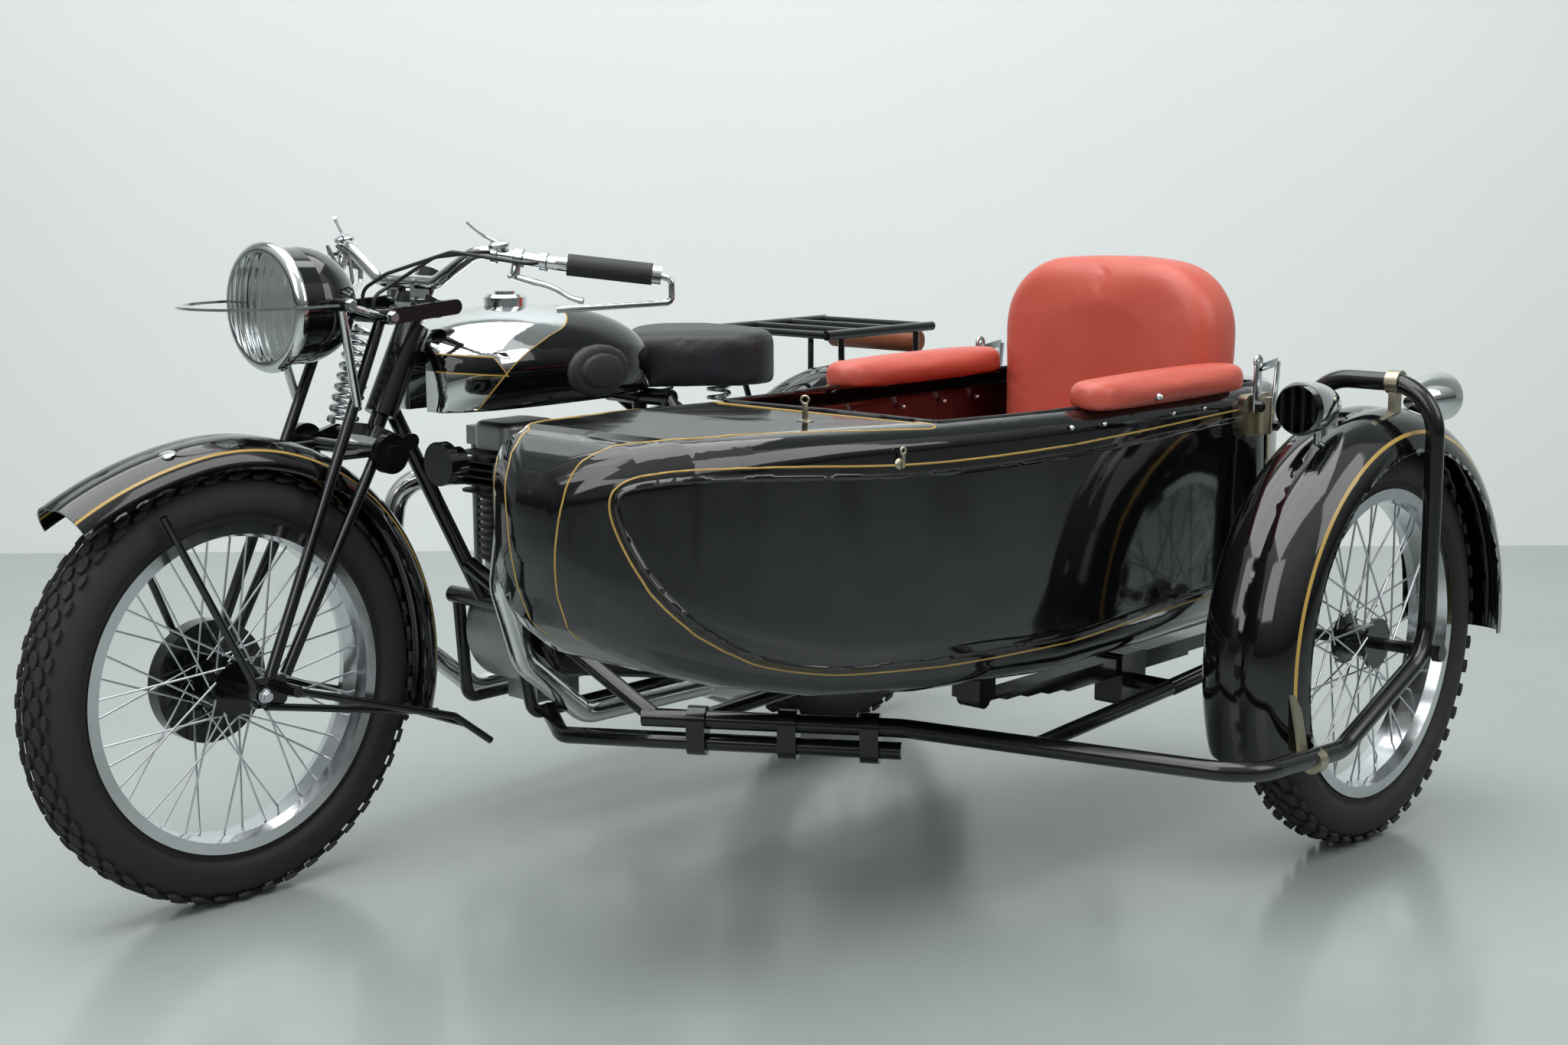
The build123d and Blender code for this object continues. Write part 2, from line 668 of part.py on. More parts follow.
ARM_FOOT_Z = 752
with BuildPart() as lamp_loop:
    with BuildSketch(Plane(origin=spot(LOOP_X, 0, LOOP_Z - LOOP_WALL / 2))) as loop:
        outer, inner = LOOP_HALF + LOOP_WIDTH / 2, LOOP_HALF - LOOP_WIDTH / 2
        straight = LAMP_BOSS_X - LOOP_X
        Circle(outer)
        with Locations((straight / 2, 0)):
            Rectangle(straight, 2 * outer)
        Circle(inner, mode=Mode.SUBTRACT)
        with Locations((straight, 0)):
            Rectangle(straight * 2, 2 * inner, mode=Mode.SUBTRACT)
        with Locations((straight + outer, 0)):
            Rectangle(2 * outer, 4 * outer, mode=Mode.SUBTRACT)
    extrude(loop.sketch, amount=LOOP_WALL)
    for side in (-1, 1):
        share = (ARM_FOOT_Z - TYRE_R - FORK_FOOT_RISE) / (FORK_TOP_Z - TYRE_R - FORK_FOOT_RISE)
        foot_x = FORK_FOOT_X + share * (FORK_TOP_X - FORK_FOOT_X)
        foot_y = FORK_HALF + share * (FORK_TOP_HALF - FORK_HALF) + SMALL_TUBE_R
        arm_y = LOOP_HALF - LOOP_WIDTH
        bar((LAMP_BOSS_X, side * arm_y, LOOP_Z), (foot_x, side * foot_y, ARM_FOOT_Z), FORK_BRACE_R)
        bar((LAMP_BOSS_X, side * arm_y, LOOP_Z), (FORK_TOP_X, side * FORK_TOP_HALF, FORK_TOP_Z), STAY_R)
    add(headlamp_shell.part, mode=Mode.SUBTRACT)
    add(girder_fork.part, mode=Mode.SUBTRACT)
with BuildPart() as lamp_metal:
    add(headlamp_rim.part)
    add(lamp_loop.part)
keep(lamp_metal, "headlamp_rim")

# Control cables of one side: the clamp on the bar, then the way to the girder's top
CABLE_R = 3
CABLE_BEND_R = 24
LEVER_CABLE = [(440, 255, 969), (408, 255, 966), (335, 160, 985), (285, 60, 950), (266, 22, 925), (266, 22, 885)]
AIR_CABLE = [(397, 190, 981), (372, 190, 985), (340, 110, 975), (300, 48, 930), (266, 48, 915), (266, 48, 885)]
with BuildPart() as control_cables:
    for side in (-1, 1):
        for route in (LEVER_CABLE, AIR_CABLE):
            tube(mirrored(route, side), CABLE_R, CABLE_BEND_R)
    add(handlebar.part, mode=Mode.SUBTRACT)
    add(girder_fork.part, mode=Mode.SUBTRACT)
keep(control_cables, "control_cables")


def guard_section(centre, angle, radius, half, depth):
    """Return a mudguard's arched section in the radial plane at an angle above +X."""
    turn = radians(angle)
    out = Vector(cos(turn), 0, sin(turn))
    plane = Plane(origin=centre, x_dir=(0, 1, 0), z_dir=Vector(0, 1, 0).cross(out))
    with BuildSketch(plane) as section:
        with BuildLine():
            side_r, mid = radius - depth, radius - depth * 0.28
            ThreePointArc((-half, side_r), (-half * 0.8, mid), (0, radius))
            ThreePointArc((0, radius), (half * 0.8, mid), (half, side_r))
            Line((half, side_r), (half - SHEET, side_r))
            ThreePointArc((half - SHEET, side_r), (half * 0.8 - SHEET, mid - SHEET), (0, radius - SHEET))
            ThreePointArc((0, radius - SHEET), (-half * 0.8 + SHEET, mid - SHEET), (-half + SHEET, side_r))
            Line((-half + SHEET, side_r), (-half, side_r))
        make_face()
    return section.sketch


def guard(x, y, start, end, radius, half, depth):
    """Add a mudguard round an axle from one angle above +X to another."""
    centre = spot(x, y, TYRE_R)
    section = guard_section(centre, start, radius, half, depth)
    revolve(section, axis=Axis(centre, (0, -1, 0)), revolution_arc=end - start)


FRONT_GUARD_ANGLES = (-17, 98)
FRONT_TIP_R = 640
FRONT_TIP_SWEEP = 21
with BuildPart() as front_mudguard:
    guard(0, 0, *FRONT_GUARD_ANGLES, GUARD_R, GUARD_HALF, GUARD_DEPTH)
    turn = radians(FRONT_GUARD_ANGLES[1])
    back = FRONT_TIP_R - GUARD_R
    tip_centre = spot(-back * cos(turn), 0, TYRE_R - back * sin(turn))
    tip = guard_section(tip_centre, FRONT_GUARD_ANGLES[1], FRONT_TIP_R, GUARD_HALF, GUARD_DEPTH)
    revolve(tip, axis=Axis(tip_centre, (0, -1, 0)), revolution_arc=FRONT_TIP_SWEEP)
keep(front_mudguard, "front_mudguard")

# Front stays: share of the crown's radius behind the axle, and above it
GUARD_STAY_SHARES = [(-0.34, 0.74), (0.93, -0.26)]
STAY_ROOT_X = 8
STAY_ROOT_Z = 314
with BuildPart() as front_stays:
    for side in (-1, 1):
        root = (STAY_ROOT_X, side * (FORK_HALF + FORK_LUG_WALL / 2 + STAY_R), STAY_ROOT_Z)
        for x_share, z_share in GUARD_STAY_SHARES:
            bar(root, (x_share * GUARD_R, side * GUARD_HALF, TYRE_R + z_share * GUARD_R), STAY_R)
    add(front_mudguard.part, mode=Mode.SUBTRACT)
    add(girder_fork.part, mode=Mode.SUBTRACT)
keep(front_stays, "front_stays")

STAND_PIVOT_X = 48
STAND_FOOT_X = 425
STAND_FOOT_Z = 181
STAND_BEND_X = 352
STAND_BEND_Z = 236
FRONT_STAND_HALF = 111
with BuildPart() as front_stand:
    for side in (-1, 1):
        y = side * FRONT_STAND_HALF
        tube([(STAND_PIVOT_X, y, TYRE_R), (STAND_BEND_X, y, STAND_BEND_Z), (STAND_FOOT_X, y, STAND_FOOT_Z)],
             STAY_R, CLAMP_R)
        bar((STAND_PIVOT_X, side * (FORK_HALF + FORK_LUG_WALL / 2 + SEAT_GAP), TYRE_R),
            (STAND_PIVOT_X, side * (FRONT_STAND_HALF + STAND_R), TYRE_R), STAND_R)
    bar((STAND_BEND_X + CLAMP_R, -FRONT_STAND_HALF, STAND_BEND_Z - STAY_R * 3),
        (STAND_BEND_X + CLAMP_R, FRONT_STAND_HALF, STAND_BEND_Z - STAY_R * 3), LEVER_R)
keep(front_stand, "front_stand")

FOOTREST_X = 948
FOOTREST_Z = 306
FOOTREST_END = 226

# Motorcycle frame
SEAT_STAY_TOP_HALF = 68
DROP_X = WHEELBASE - 15
FRONT_CROSS_BAR_X = 640
REAR_CROSS_BAR_X = 890
TANK_TUBE_Z = 812
FRAME_CROSS_R = 15
LOWER_LUG_HALF = 84
LOWER_TUBE_HALF = 69
CRADLE_CROSS_R = 9
with BuildPart() as motorcycle_frame:
    bar((head_x(HEAD_LOW_Z), 0, HEAD_LOW_Z), (head_x(HEAD_HIGH_Z), 0, HEAD_HIGH_Z), HEAD_LUG_R)
    bar((head_x(HEAD_LOW_Z + HEAD_LUG_R), 0, HEAD_LOW_Z + HEAD_LUG_R), DOWN_TUBE_LOW, TUBE_R)
    bar((head_x(TANK_TUBE_Z), 0, TANK_TUBE_Z), SADDLE_LUG, TUBE_R)
    bar(SADDLE_LUG, SEAT_TUBE_LOW, TUBE_R)
    for (x, y, z), half in ((SADDLE_LUG, SEAT_STAY_TOP_HALF + TUBE_R), (DOWN_TUBE_LOW, LOWER_LUG_HALF)):
        bar((x, -half, z), (x, half, z), FRAME_CROSS_R)
    with BuildSketch(head_plane(HEAD_LOW_Z)) as bore:
        Circle(STEM_R + SEAT_GAP)
    extrude(bore.sketch, amount=HEAD_HIGH_Z, both=True, mode=Mode.SUBTRACT)
keep(motorcycle_frame, "motorcycle_frame")

with BuildPart() as cradle_rails:
    for side in (-1, 1):
        tube([(DOWN_TUBE_LOW[0], side * LOWER_TUBE_HALF, DOWN_TUBE_LOW[2]), (RAIL_FRONT_X, side * RAIL_HALF, RAIL_Z),
              (RAIL_REAR_X, side * RAIL_HALF, RAIL_Z), (DROP_X - RAIL_R, side * STAY_HALF, TYRE_R - RAIL_R)], RAIL_R, CLAMP_R)
        rib(DROPOUT_LENGTH, DROPOUT_HEIGHT, DROPOUT_WALL, side_plane(side * STAY_HALF, WHEELBASE, TYRE_R), DROPOUT_HEIGHT / 3)
    for x in (FRONT_CROSS_BAR_X, REAR_CROSS_BAR_X):
        bar((x, -RAIL_HALF, RAIL_Z), (x, RAIL_HALF, RAIL_Z), CRADLE_CROSS_R)
    reach = STAY_HALF + DROPOUT_WALL / 2 + SMALL_TUBE_R
    bar((WHEELBASE, -reach, TYRE_R), (WHEELBASE, reach, TYRE_R), AXLE_R)
    for side in (-1, 1):
        with BuildSketch(side_plane(side * reach, WHEELBASE, TYRE_R)) as nut:
            RegularPolygon(AXLE_NUT_R, 6)
        extrude(nut.sketch, amount=-side * AXLE_NUT_WIDTH)
    bar((FOOTREST_X, -FOOTREST_END, FOOTREST_Z), (FOOTREST_X, FOOTREST_END, FOOTREST_Z), FORK_BRACE_R)
    for side in (-1, 1):
        bar((FOOTREST_X, side * (FOOTREST_END - FOOTREST_LENGTH), FOOTREST_Z),
            (FOOTREST_X, side * FOOTREST_END, FOOTREST_Z), FOOTREST_R)
        bar((RAIL_REAR_X, side * RAIL_HALF, RAIL_Z), (FOOTREST_X, side * RAIL_HALF, FOOTREST_Z), SMALL_TUBE_R)
    add(motorcycle_frame.part, mode=Mode.SUBTRACT)
keep(cradle_rails, "cradle_rails")

REAR_GUARD_ANGLES = (-14, 168)
with BuildPart() as rear_mudguard:
    guard(WHEELBASE, 0, *REAR_GUARD_ANGLES, GUARD_R, GUARD_HALF, GUARD_DEPTH)
keep(rear_mudguard, "rear_mudguard")

GUARD_STAY_ANGLES = (22, -8)
with BuildPart() as rear_stays:
    for side in (-1, 1):
        bar((SADDLE_LUG[0], side * SEAT_STAY_TOP_HALF, SADDLE_LUG[2]), (DROP_X, side * STAY_HALF, TYRE_R + RAIL_R), SMALL_TUBE_R)
        for angle in GUARD_STAY_ANGLES:
            turn = radians(angle)
            out = GUARD_R - GUARD_DEPTH + STAY_R * 2
            bar((WHEELBASE + DROPOUT_LENGTH / 3, side * (STAY_HALF + DROPOUT_WALL), TYRE_R - SMALL_TUBE_R),
                (WHEELBASE + out * cos(turn), side * GUARD_HALF, TYRE_R + out * sin(turn)), STAY_R)
    add(rear_mudguard.part, mode=Mode.SUBTRACT)
    add(motorcycle_frame.part, mode=Mode.SUBTRACT)
    add(cradle_rails.part, mode=Mode.SUBTRACT)
keep(rear_stays, "rear_stays")


def link_plate(first, second, first_r, second_r, y, thickness):
    """Add a plate whose outline wraps two circles seen from the side, from a plane toward -Y."""
    with BuildSketch(side_plane(y)) as outline:
        with Locations((first[0], first[1])):
            Circle(first_r)
        with Locations((second[0], second[1])):
            Circle(second_r)
        make_hull()
    extrude(outline.sketch, amount=thickness)


# Engine
with BuildPart() as crankcase:
    half = CRANKCASE_WIDTH / 2
    bar((ENGINE_X, -half, ENGINE_Z), (ENGINE_X, half, ENGINE_Z), CRANKCASE_R)
    bar((BARREL_X, 0, ENGINE_Z), (BARREL_X, 0, CRANKCASE_DECK_Z), BARREL_R * 1.3)
    bar((ENGINE_X, -RAIL_HALF + CLAMP_R / 4, ENGINE_Z), (ENGINE_X, 0, ENGINE_Z), BARREL_R)
    foot = Vector(FRONT_CROSS_BAR_X, 0, RAIL_Z)
    with BuildSketch(Plane(origin=spot(*foot))) as pad:
        Rectangle(CRANKCASE_R, CRANKCASE_WIDTH * 0.7)
    extrude(pad.sketch, amount=OVERRUN + RAIL_R)
    with BuildSketch(side_plane(half, MAGDYNO_X, MAGDYNO_Z - MAGDYNO_R)) as shelf:
        Rectangle(MAGDYNO_R * 1.3, MAGDYNO_R, align=(Align.MAX, Align.MAX))
    extrude(shelf.sketch, amount=CRANKCASE_WIDTH)
    link_plate((ENGINE_X, ENGINE_Z), (MAGDYNO_X, MAGDYNO_Z), TIMING_R, MAGDYNO_R, half + TIMING_WIDTH, TIMING_WIDTH)
    fillet(crankcase.faces().sort_by(Axis.Y)[-1].edges(), TIMING_WIDTH / 4)
    add(cradle_rails.part, mode=Mode.SUBTRACT)
keep(crankcase, "crankcase")

with BuildPart() as barrel:
    fin_top = CRANKCASE_DECK_Z + BARREL_FINS * FIN_PITCH
    bar((BARREL_X, 0, CRANKCASE_DECK_Z), (BARREL_X, 0, fin_top), BARREL_R)
    for k in range(BARREL_FINS):
        z = CRANKCASE_DECK_Z + (k + 0.5) * FIN_PITCH
        bar((BARREL_X, 0, z), (BARREL_X, 0, z + FIN_WALL), FIN_R)
keep(barrel, "barrel")

with BuildPart() as cylinder_head:
    head_top = fin_top + HEAD_FINS * FIN_PITCH
    bar((BARREL_X, 0, fin_top), (BARREL_X, 0, head_top), BARREL_R)
    for k in range(HEAD_FINS):
        z = fin_top + (k + 0.3) * FIN_PITCH
        with BuildSketch(Plane(origin=spot(BARREL_X, 0, z))) as fin:
            RectangleRounded(HEAD_FIN_R * 2, HEAD_FIN_R * 1.8, HEAD_FIN_R * 0.4)
        extrude(fin.sketch, amount=FIN_WALL)
    for side in (-1, 1):
        bar((BARREL_X, side * BARREL_R * 0.6, fin_top + HEAD_FINS * FIN_PITCH * 0.45),
            (BARREL_X - HEAD_FIN_R * 1.05, side * HEAD_FIN_R, fin_top + HEAD_FINS * FIN_PITCH * 0.45), PORT_R)
keep(cylinder_head, "cylinder_head")

PUSH_ROD_Y = 81
with BuildPart() as rocker_box:
    with BuildSketch(Plane(origin=spot(BARREL_X, 0, head_top))) as box:
        RectangleRounded(ROCKER_LENGTH, ROCKER_WIDTH, ROCKER_WIDTH / 4)
    extrude(box.sketch, amount=ROCKER_HEIGHT)
    fillet(rocker_box.faces().sort_by(Axis.Z)[-1].edges(), ROCKER_HEIGHT / 4)
    with BuildSketch(side_plane(PUSH_ROD_Y + SMALL_TUBE_R, BARREL_X, head_top)) as cap:
        Rectangle(BARREL_R * 1.5, ROCKER_HEIGHT * 0.7, align=(Align.CENTER, Align.MIN))
    extrude(cap.sketch, amount=PUSH_ROD_Y + SMALL_TUBE_R - ROCKER_WIDTH / 3)
    for share in (-0.5, 0.5):
        x = BARREL_X + share * BARREL_R
        bar((x, PUSH_ROD_Y, ENGINE_Z + CRANKCASE_R / 2), (x, PUSH_ROD_Y, head_top + SMALL_TUBE_R), FORK_BRACE_R)
    add(crankcase.part, mode=Mode.SUBTRACT)
keep(rocker_box, "rocker_box")

with BuildPart() as gearbox:
    half = GEARBOX_WIDTH / 2
    with BuildSketch(side_plane(half, GEARBOX_X, GEARBOX_Z)) as shell:
        RectangleRounded(GEARBOX_LENGTH, GEARBOX_HEIGHT, GEARBOX_LENGTH / 4)
    extrude(shell.sketch, amount=GEARBOX_WIDTH)
    bar((GEARBOX_X, half, GEARBOX_Z), (GEARBOX_X, half + TIMING_WIDTH, GEARBOX_Z), GEARBOX_HEIGHT * 0.42)
    with BuildSketch(Plane(origin=spot(REAR_CROSS_BAR_X, 0, RAIL_Z))) as pad:
        Rectangle(RAIL_R * 2, half)
    extrude(pad.sketch, amount=OVERRUN * 1.5)
    add(crankcase.part, mode=Mode.SUBTRACT)
    add(cradle_rails.part, mode=Mode.SUBTRACT)
keep(gearbox, "gearbox")

CHAIN_Y = -72.5
with BuildPart() as primary_case:
    link_plate((ENGINE_X, ENGINE_Z), (GEARBOX_X, GEARBOX_Z), PRIMARY_R, CLUTCH_R,
               -RAIL_HALF + CLAMP_R / 4, PRIMARY_WIDTH)
    fillet(primary_case.faces().sort_by(Axis.Y)[0].edges(), PRIMARY_WIDTH / 3)
    bar((GEARBOX_X, -RAIL_HALF, GEARBOX_Z), (GEARBOX_X, -RAIL_HALF - PRIMARY_WIDTH - CLAMP_R / 2, GEARBOX_Z), CLUTCH_R * 0.6)
    fillet(primary_case.faces().sort_by(Axis.Y)[0].edges(), CLAMP_R / 4)
keep(primary_case, "primary_case")

with BuildPart() as magdyno:
    half = CRANKCASE_WIDTH / 2
    bar((MAGDYNO_X, half - SEAT_GAP, MAGDYNO_Z), (MAGDYNO_X, half - MAGDYNO_LENGTH, MAGDYNO_Z), MAGDYNO_R)
    bar((MAGDYNO_X, half - SEAT_GAP, MAGDYNO_Z + MAGDYNO_R + DYNAMO_R * 0.8),
        (MAGDYNO_X, half - MAGDYNO_LENGTH * 1.1, MAGDYNO_Z + MAGDYNO_R + DYNAMO_R * 0.8), DYNAMO_R)
keep(magdyno, "magdyno")

CARB_Z_SHARE = 0.45
with BuildPart() as carburettor:
    z = fin_top + HEAD_FINS * FIN_PITCH * CARB_Z_SHARE
    bar((BARREL_X + HEAD_FIN_R + SEAT_GAP, 0, z), (BARREL_X + HEAD_FIN_R + CARB_LENGTH, 0, z), CARB_R)
    x = BARREL_X + HEAD_FIN_R + CARB_LENGTH * 0.55
    bar((x, 0, z - CARB_R * 2), (x, 0, z + CARB_R * 2.4), CARB_R * 0.9)
    bar((x, -CARB_R * 1.6, z - CARB_R * 2.6), (x, -CARB_R * 1.6, z - CARB_R * 0.6), CARB_R)
keep(carburettor, "carburettor")

# Exhaust: the places of one side's pipe, from the port to the silencer
PIPE_TOP_X = 448
PIPE_FRONT_X = 426
PIPE_KNEE_X = 470
PIPE_LOW_X = 604
port_z = fin_top + HEAD_FINS * FIN_PITCH * 0.45
PIPE_SIDE = [
    (BARREL_X - HEAD_FIN_R * 1.05 - SEAT_GAP, HEAD_FIN_R + SEAT_GAP, port_z),
    (PIPE_TOP_X, PIPE_HALF, port_z - PIPE_R),
    (PIPE_FRONT_X, PIPE_HALF, ENGINE_Z + CRANKCASE_R * 1.2),
    (PIPE_KNEE_X, PIPE_HALF, ENGINE_Z - PIPE_R),
    (PIPE_LOW_X, PIPE_HALF, SILENCER_Z),
    (SILENCER_FRONT_X + SILENCER_R, SILENCER_HALF, SILENCER_Z),
]
with BuildPart() as exhaust:
    for side in (-1, 1):
        tube(mirrored(PIPE_SIDE, side), PIPE_R, PIPE_BEND_R)
        y = side * SILENCER_HALF
        axis = Axis(spot(0, y, SILENCER_Z), (1, 0, 0))
        with BuildSketch(side_plane(y, SILENCER_FRONT_X, SILENCER_Z)) as body:
            length = SILENCER_REAR_X - SILENCER_FRONT_X
            Polygon((0, 0), (0, PIPE_R * 1.2), (SILENCER_R, SILENCER_R), (length - SILENCER_R, SILENCER_R),
                    (length, PIPE_R), (length, 0), align=None)
        revolve(body.sketch, axis=axis)
        with BuildSketch(side_plane(y, SILENCER_REAR_X - OVERRUN, SILENCER_Z)) as tail:
            Polygon((0, -PIPE_R), (FISHTAIL_LENGTH, -FISHTAIL_HEIGHT / 2), (FISHTAIL_LENGTH, FISHTAIL_HEIGHT / 2),
                    (0, PIPE_R), align=None)
        extrude(tail.sketch, amount=FISHTAIL_WIDTH / 2, both=True)
    add(cylinder_head.part, mode=Mode.SUBTRACT)
keep(exhaust, "exhaust")

# Chain and rear sprocket
with BuildPart() as drive_chain:
    y = CHAIN_Y + CHAIN_WIDTH / 2
    front_r = SPROCKET_R * 0.42
    link_plate((GEARBOX_X, GEARBOX_Z), (WHEELBASE, TYRE_R), front_r + CHAIN_WALL, SPROCKET_R + CHAIN_WALL, y, CHAIN_WIDTH * 0.7)
    with BuildSketch(side_plane(y + OVERRUN)) as inside:
        with Locations((GEARBOX_X, GEARBOX_Z)):
            Circle(front_r)
        with Locations((WHEELBASE, TYRE_R)):
            Circle(SPROCKET_R + SEAT_GAP)
        make_hull()
    extrude(inside.sketch, amount=OVERRUN * 2, mode=Mode.SUBTRACT)
    bar((GEARBOX_X, y, GEARBOX_Z), (GEARBOX_X, y - CHAIN_WIDTH * 0.7, GEARBOX_Z), front_r)
keep(drive_chain, "drive_chain")


# Tank: share of the length, share of the half width, share of the height to the shoulder and to the top
TANK_SHARES = [
    (0, 0.56, 0.44, 0.72),
    (0.1, 0.84, 0.56, 0.87),
    (0.36, 1.0, 0.6, 1.0),
    (0.72, 0.94, 0.56, 0.92),
    (1, 0.5, 0.4, 0.6),
]
TANK_BELLY_SHARE = 0.8
with BuildPart() as fuel_tank:
    height = TANK_TOP_Z - TANK_LOW_Z
    for along_share, half_share, shoulder_share, top_share in TANK_SHARES:
        x = TANK_FRONT_X + along_share * (TANK_REAR_X - TANK_FRONT_X)
        half = half_share * TANK_HALF
        plane = Plane(origin=spot(x, 0, TANK_LOW_Z), x_dir=(0, 1, 0), z_dir=(1, 0, 0))
        with BuildSketch(plane):
            with BuildLine():
                low, shoulder, top = half * TANK_BELLY_SHARE, height * shoulder_share, height * top_share
                Line((-low, 0), (low, 0))
                ThreePointArc((low, 0), (half, shoulder / 2), (half * 0.96, shoulder))
                ThreePointArc((half * 0.96, shoulder), (half * 0.66, shoulder + (top - shoulder) * 0.68), (0, top))
                ThreePointArc((0, top), (-half * 0.66, shoulder + (top - shoulder) * 0.68), (-half * 0.96, shoulder))
                ThreePointArc((-half * 0.96, shoulder), (-half, shoulder / 2), (-low, 0))
            make_face()
    loft()
    with BuildSketch(side_plane(TANK_TUNNEL_HALF)) as tunnel:
        reach = TUBE_R + RUN_GAP
        Polygon(
            (TANK_FRONT_X - OVERRUN, TANK_LOW_Z - OVERRUN), (TANK_FRONT_X - OVERRUN, TANK_TUBE_Z + reach),
            (TANK_REAR_X + OVERRUN, SADDLE_LUG[2] + reach), (TANK_REAR_X + OVERRUN, TANK_LOW_Z - OVERRUN), align=None,
        )
    extrude(tunnel.sketch, amount=TANK_TUNNEL_HALF * 2, mode=Mode.SUBTRACT)
    with BuildSketch(head_plane(HEAD_LOW_Z)) as lug:
        Circle(HEAD_LUG_R + RUN_GAP)
    extrude(lug.sketch, amount=HEAD_HIGH_Z, both=True, mode=Mode.SUBTRACT)
keep(fuel_tank, "fuel_tank")

CAP_X = 575
with BuildPart() as filler_cap:
    bar((CAP_X, 0, TANK_TOP_Z - RUN_GAP), (CAP_X, 0, TANK_TOP_Z + CAP_HEIGHT), CAP_R)
    chamfer(filler_cap.faces().sort_by(Axis.Z)[-1].edges(), RUN_GAP)
    bar((CAP_X, 0, TANK_TOP_Z), (CAP_X, 0, TANK_TOP_Z + CAP_HEIGHT + RUN_GAP), CAP_R / 2)
    add(fuel_tank.part, mode=Mode.SUBTRACT)
keep(filler_cap, "filler_cap")

with BuildPart() as knee_pads:
    for side in (-1, 1):
        root = spot(KNEE_PAD_X, side * TANK_HALF * 0.8, KNEE_PAD_Z)
        with BuildSketch(Plane(origin=root, x_dir=(1, 0, 0), z_dir=(0, side, 0))) as pad:
            RectangleRounded(KNEE_PAD_LENGTH, KNEE_PAD_HEIGHT, KNEE_PAD_HEIGHT * 0.4)
        extrude(pad.sketch, amount=TANK_HALF * 0.2 + KNEE_PAD_WALL)
    for end in (0, -1):
        fillet(knee_pads.faces().sort_by(Axis.Y)[end].edges(), KNEE_PAD_WALL * 0.4)
    add(fuel_tank.part, mode=Mode.SUBTRACT)
keep(knee_pads, "knee_pads")

SADDLE_CHEEK_R = 92
SADDLE_LIP = 10
SADDLE_SKIRT = 34


def saddle_plan(z, inset):
    """Return the saddle's pear-shaped plan at a height, drawn in by a lip."""
    with BuildSketch(Plane(origin=spot(0, 0, z))) as plan:
        with Locations((SADDLE_FRONT_X + SADDLE_NOSE_HALF, 0)):
            Circle(SADDLE_NOSE_HALF - inset)
        with Locations(*[(SADDLE_REAR_X - SADDLE_CHEEK_R, side * (SADDLE_HALF - SADDLE_CHEEK_R)) for side in (-1, 1)]):
            Circle(SADDLE_CHEEK_R - inset)
        make_hull()
    return plan.sketch


with BuildPart() as saddle:
    low = SADDLE_TOP_Z - SADDLE_WALL - SADDLE_SKIRT
    extrude(saddle_plan(low, 0), amount=SADDLE_WALL + SADDLE_SKIRT)
    fillet(saddle.faces().sort_by(Axis.Z)[-1].edges(), SADDLE_WALL / 3)
    extrude(saddle_plan(low, SADDLE_LIP), amount=SADDLE_SKIRT, mode=Mode.SUBTRACT)
    add(motorcycle_frame.part, mode=Mode.SUBTRACT)
keep(saddle, "saddle")

SADDLE_SPRING_X = 1010
SADDLE_SPRING_R = 24
with BuildPart() as saddle_springs:
    for side in (-1, 1):
        share = (SADDLE_SPRING_X - SADDLE_LUG[0]) / (DROP_X - SADDLE_LUG[0])
        y = side * (SEAT_STAY_TOP_HALF + share * (STAY_HALF - SEAT_STAY_TOP_HALF))
        z = SADDLE_LUG[2] + share * (TYRE_R - SADDLE_LUG[2])
        top = SADDLE_TOP_Z - SADDLE_WALL
        coils = 6
        low = z + SMALL_TUBE_R * 1.6
        for k in range(coils):
            first = low + (k + 0.15) * (top - low) / coils
            bar((SADDLE_SPRING_X, y, first), (SADDLE_SPRING_X, y, first + (top - low) / coils * 0.7), SADDLE_SPRING_R)
        bar((SADDLE_SPRING_X, y, z), (SADDLE_SPRING_X, y, top), SADDLE_SPRING_R * 0.7)
    x = SADDLE_FRONT_X + SADDLE_NOSE_HALF
    bar((SADDLE_LUG[0], 0, SADDLE_LUG[2]), (SADDLE_LUG[0], 0, SADDLE_TOP_Z - SADDLE_WALL), TUBE_R)
    add(motorcycle_frame.part, mode=Mode.SUBTRACT)
    add(rear_stays.part, mode=Mode.SUBTRACT)
    add(fuel_tank.part, mode=Mode.SUBTRACT)
keep(saddle_springs, "saddle_springs")

CARRIER_BAR_R = 7
with BuildPart() as carrier:
    front, rear = CARRIER_X, CARRIER_X + CARRIER_LENGTH
    for side in (-1, 1):
        y = side * CARRIER_HALF
        bar((front - STAY_R, y, CARRIER_Z), (rear + STAY_R, y, CARRIER_Z), CARRIER_TUBE_R)
        for x, foot in ((front + OVERRUN, WHEELBASE - DROPOUT_LENGTH / 3), (rear - OVERRUN, WHEELBASE + DROPOUT_LENGTH / 3)):
            tube([(x, y - side * STAY_R / 2, CARRIER_Z), (x, y - side * STAY_R / 2, CARRIER_Z - CLAMP_R * 2),
                  (foot, side * (STAY_HALF + DROPOUT_WALL), TYRE_R + SMALL_TUBE_R * 2)], STAY_R, CLAMP_R)
    for k in range(CARRIER_BARS):
        x = front + k * CARRIER_LENGTH / (CARRIER_BARS - 1)
        bar((x, -CARRIER_HALF, CARRIER_Z), (x, CARRIER_HALF, CARRIER_Z), CARRIER_BAR_R)
    add(cradle_rails.part, mode=Mode.SUBTRACT)
    add(rear_stays.part, mode=Mode.SUBTRACT)
keep(carrier, "carrier")

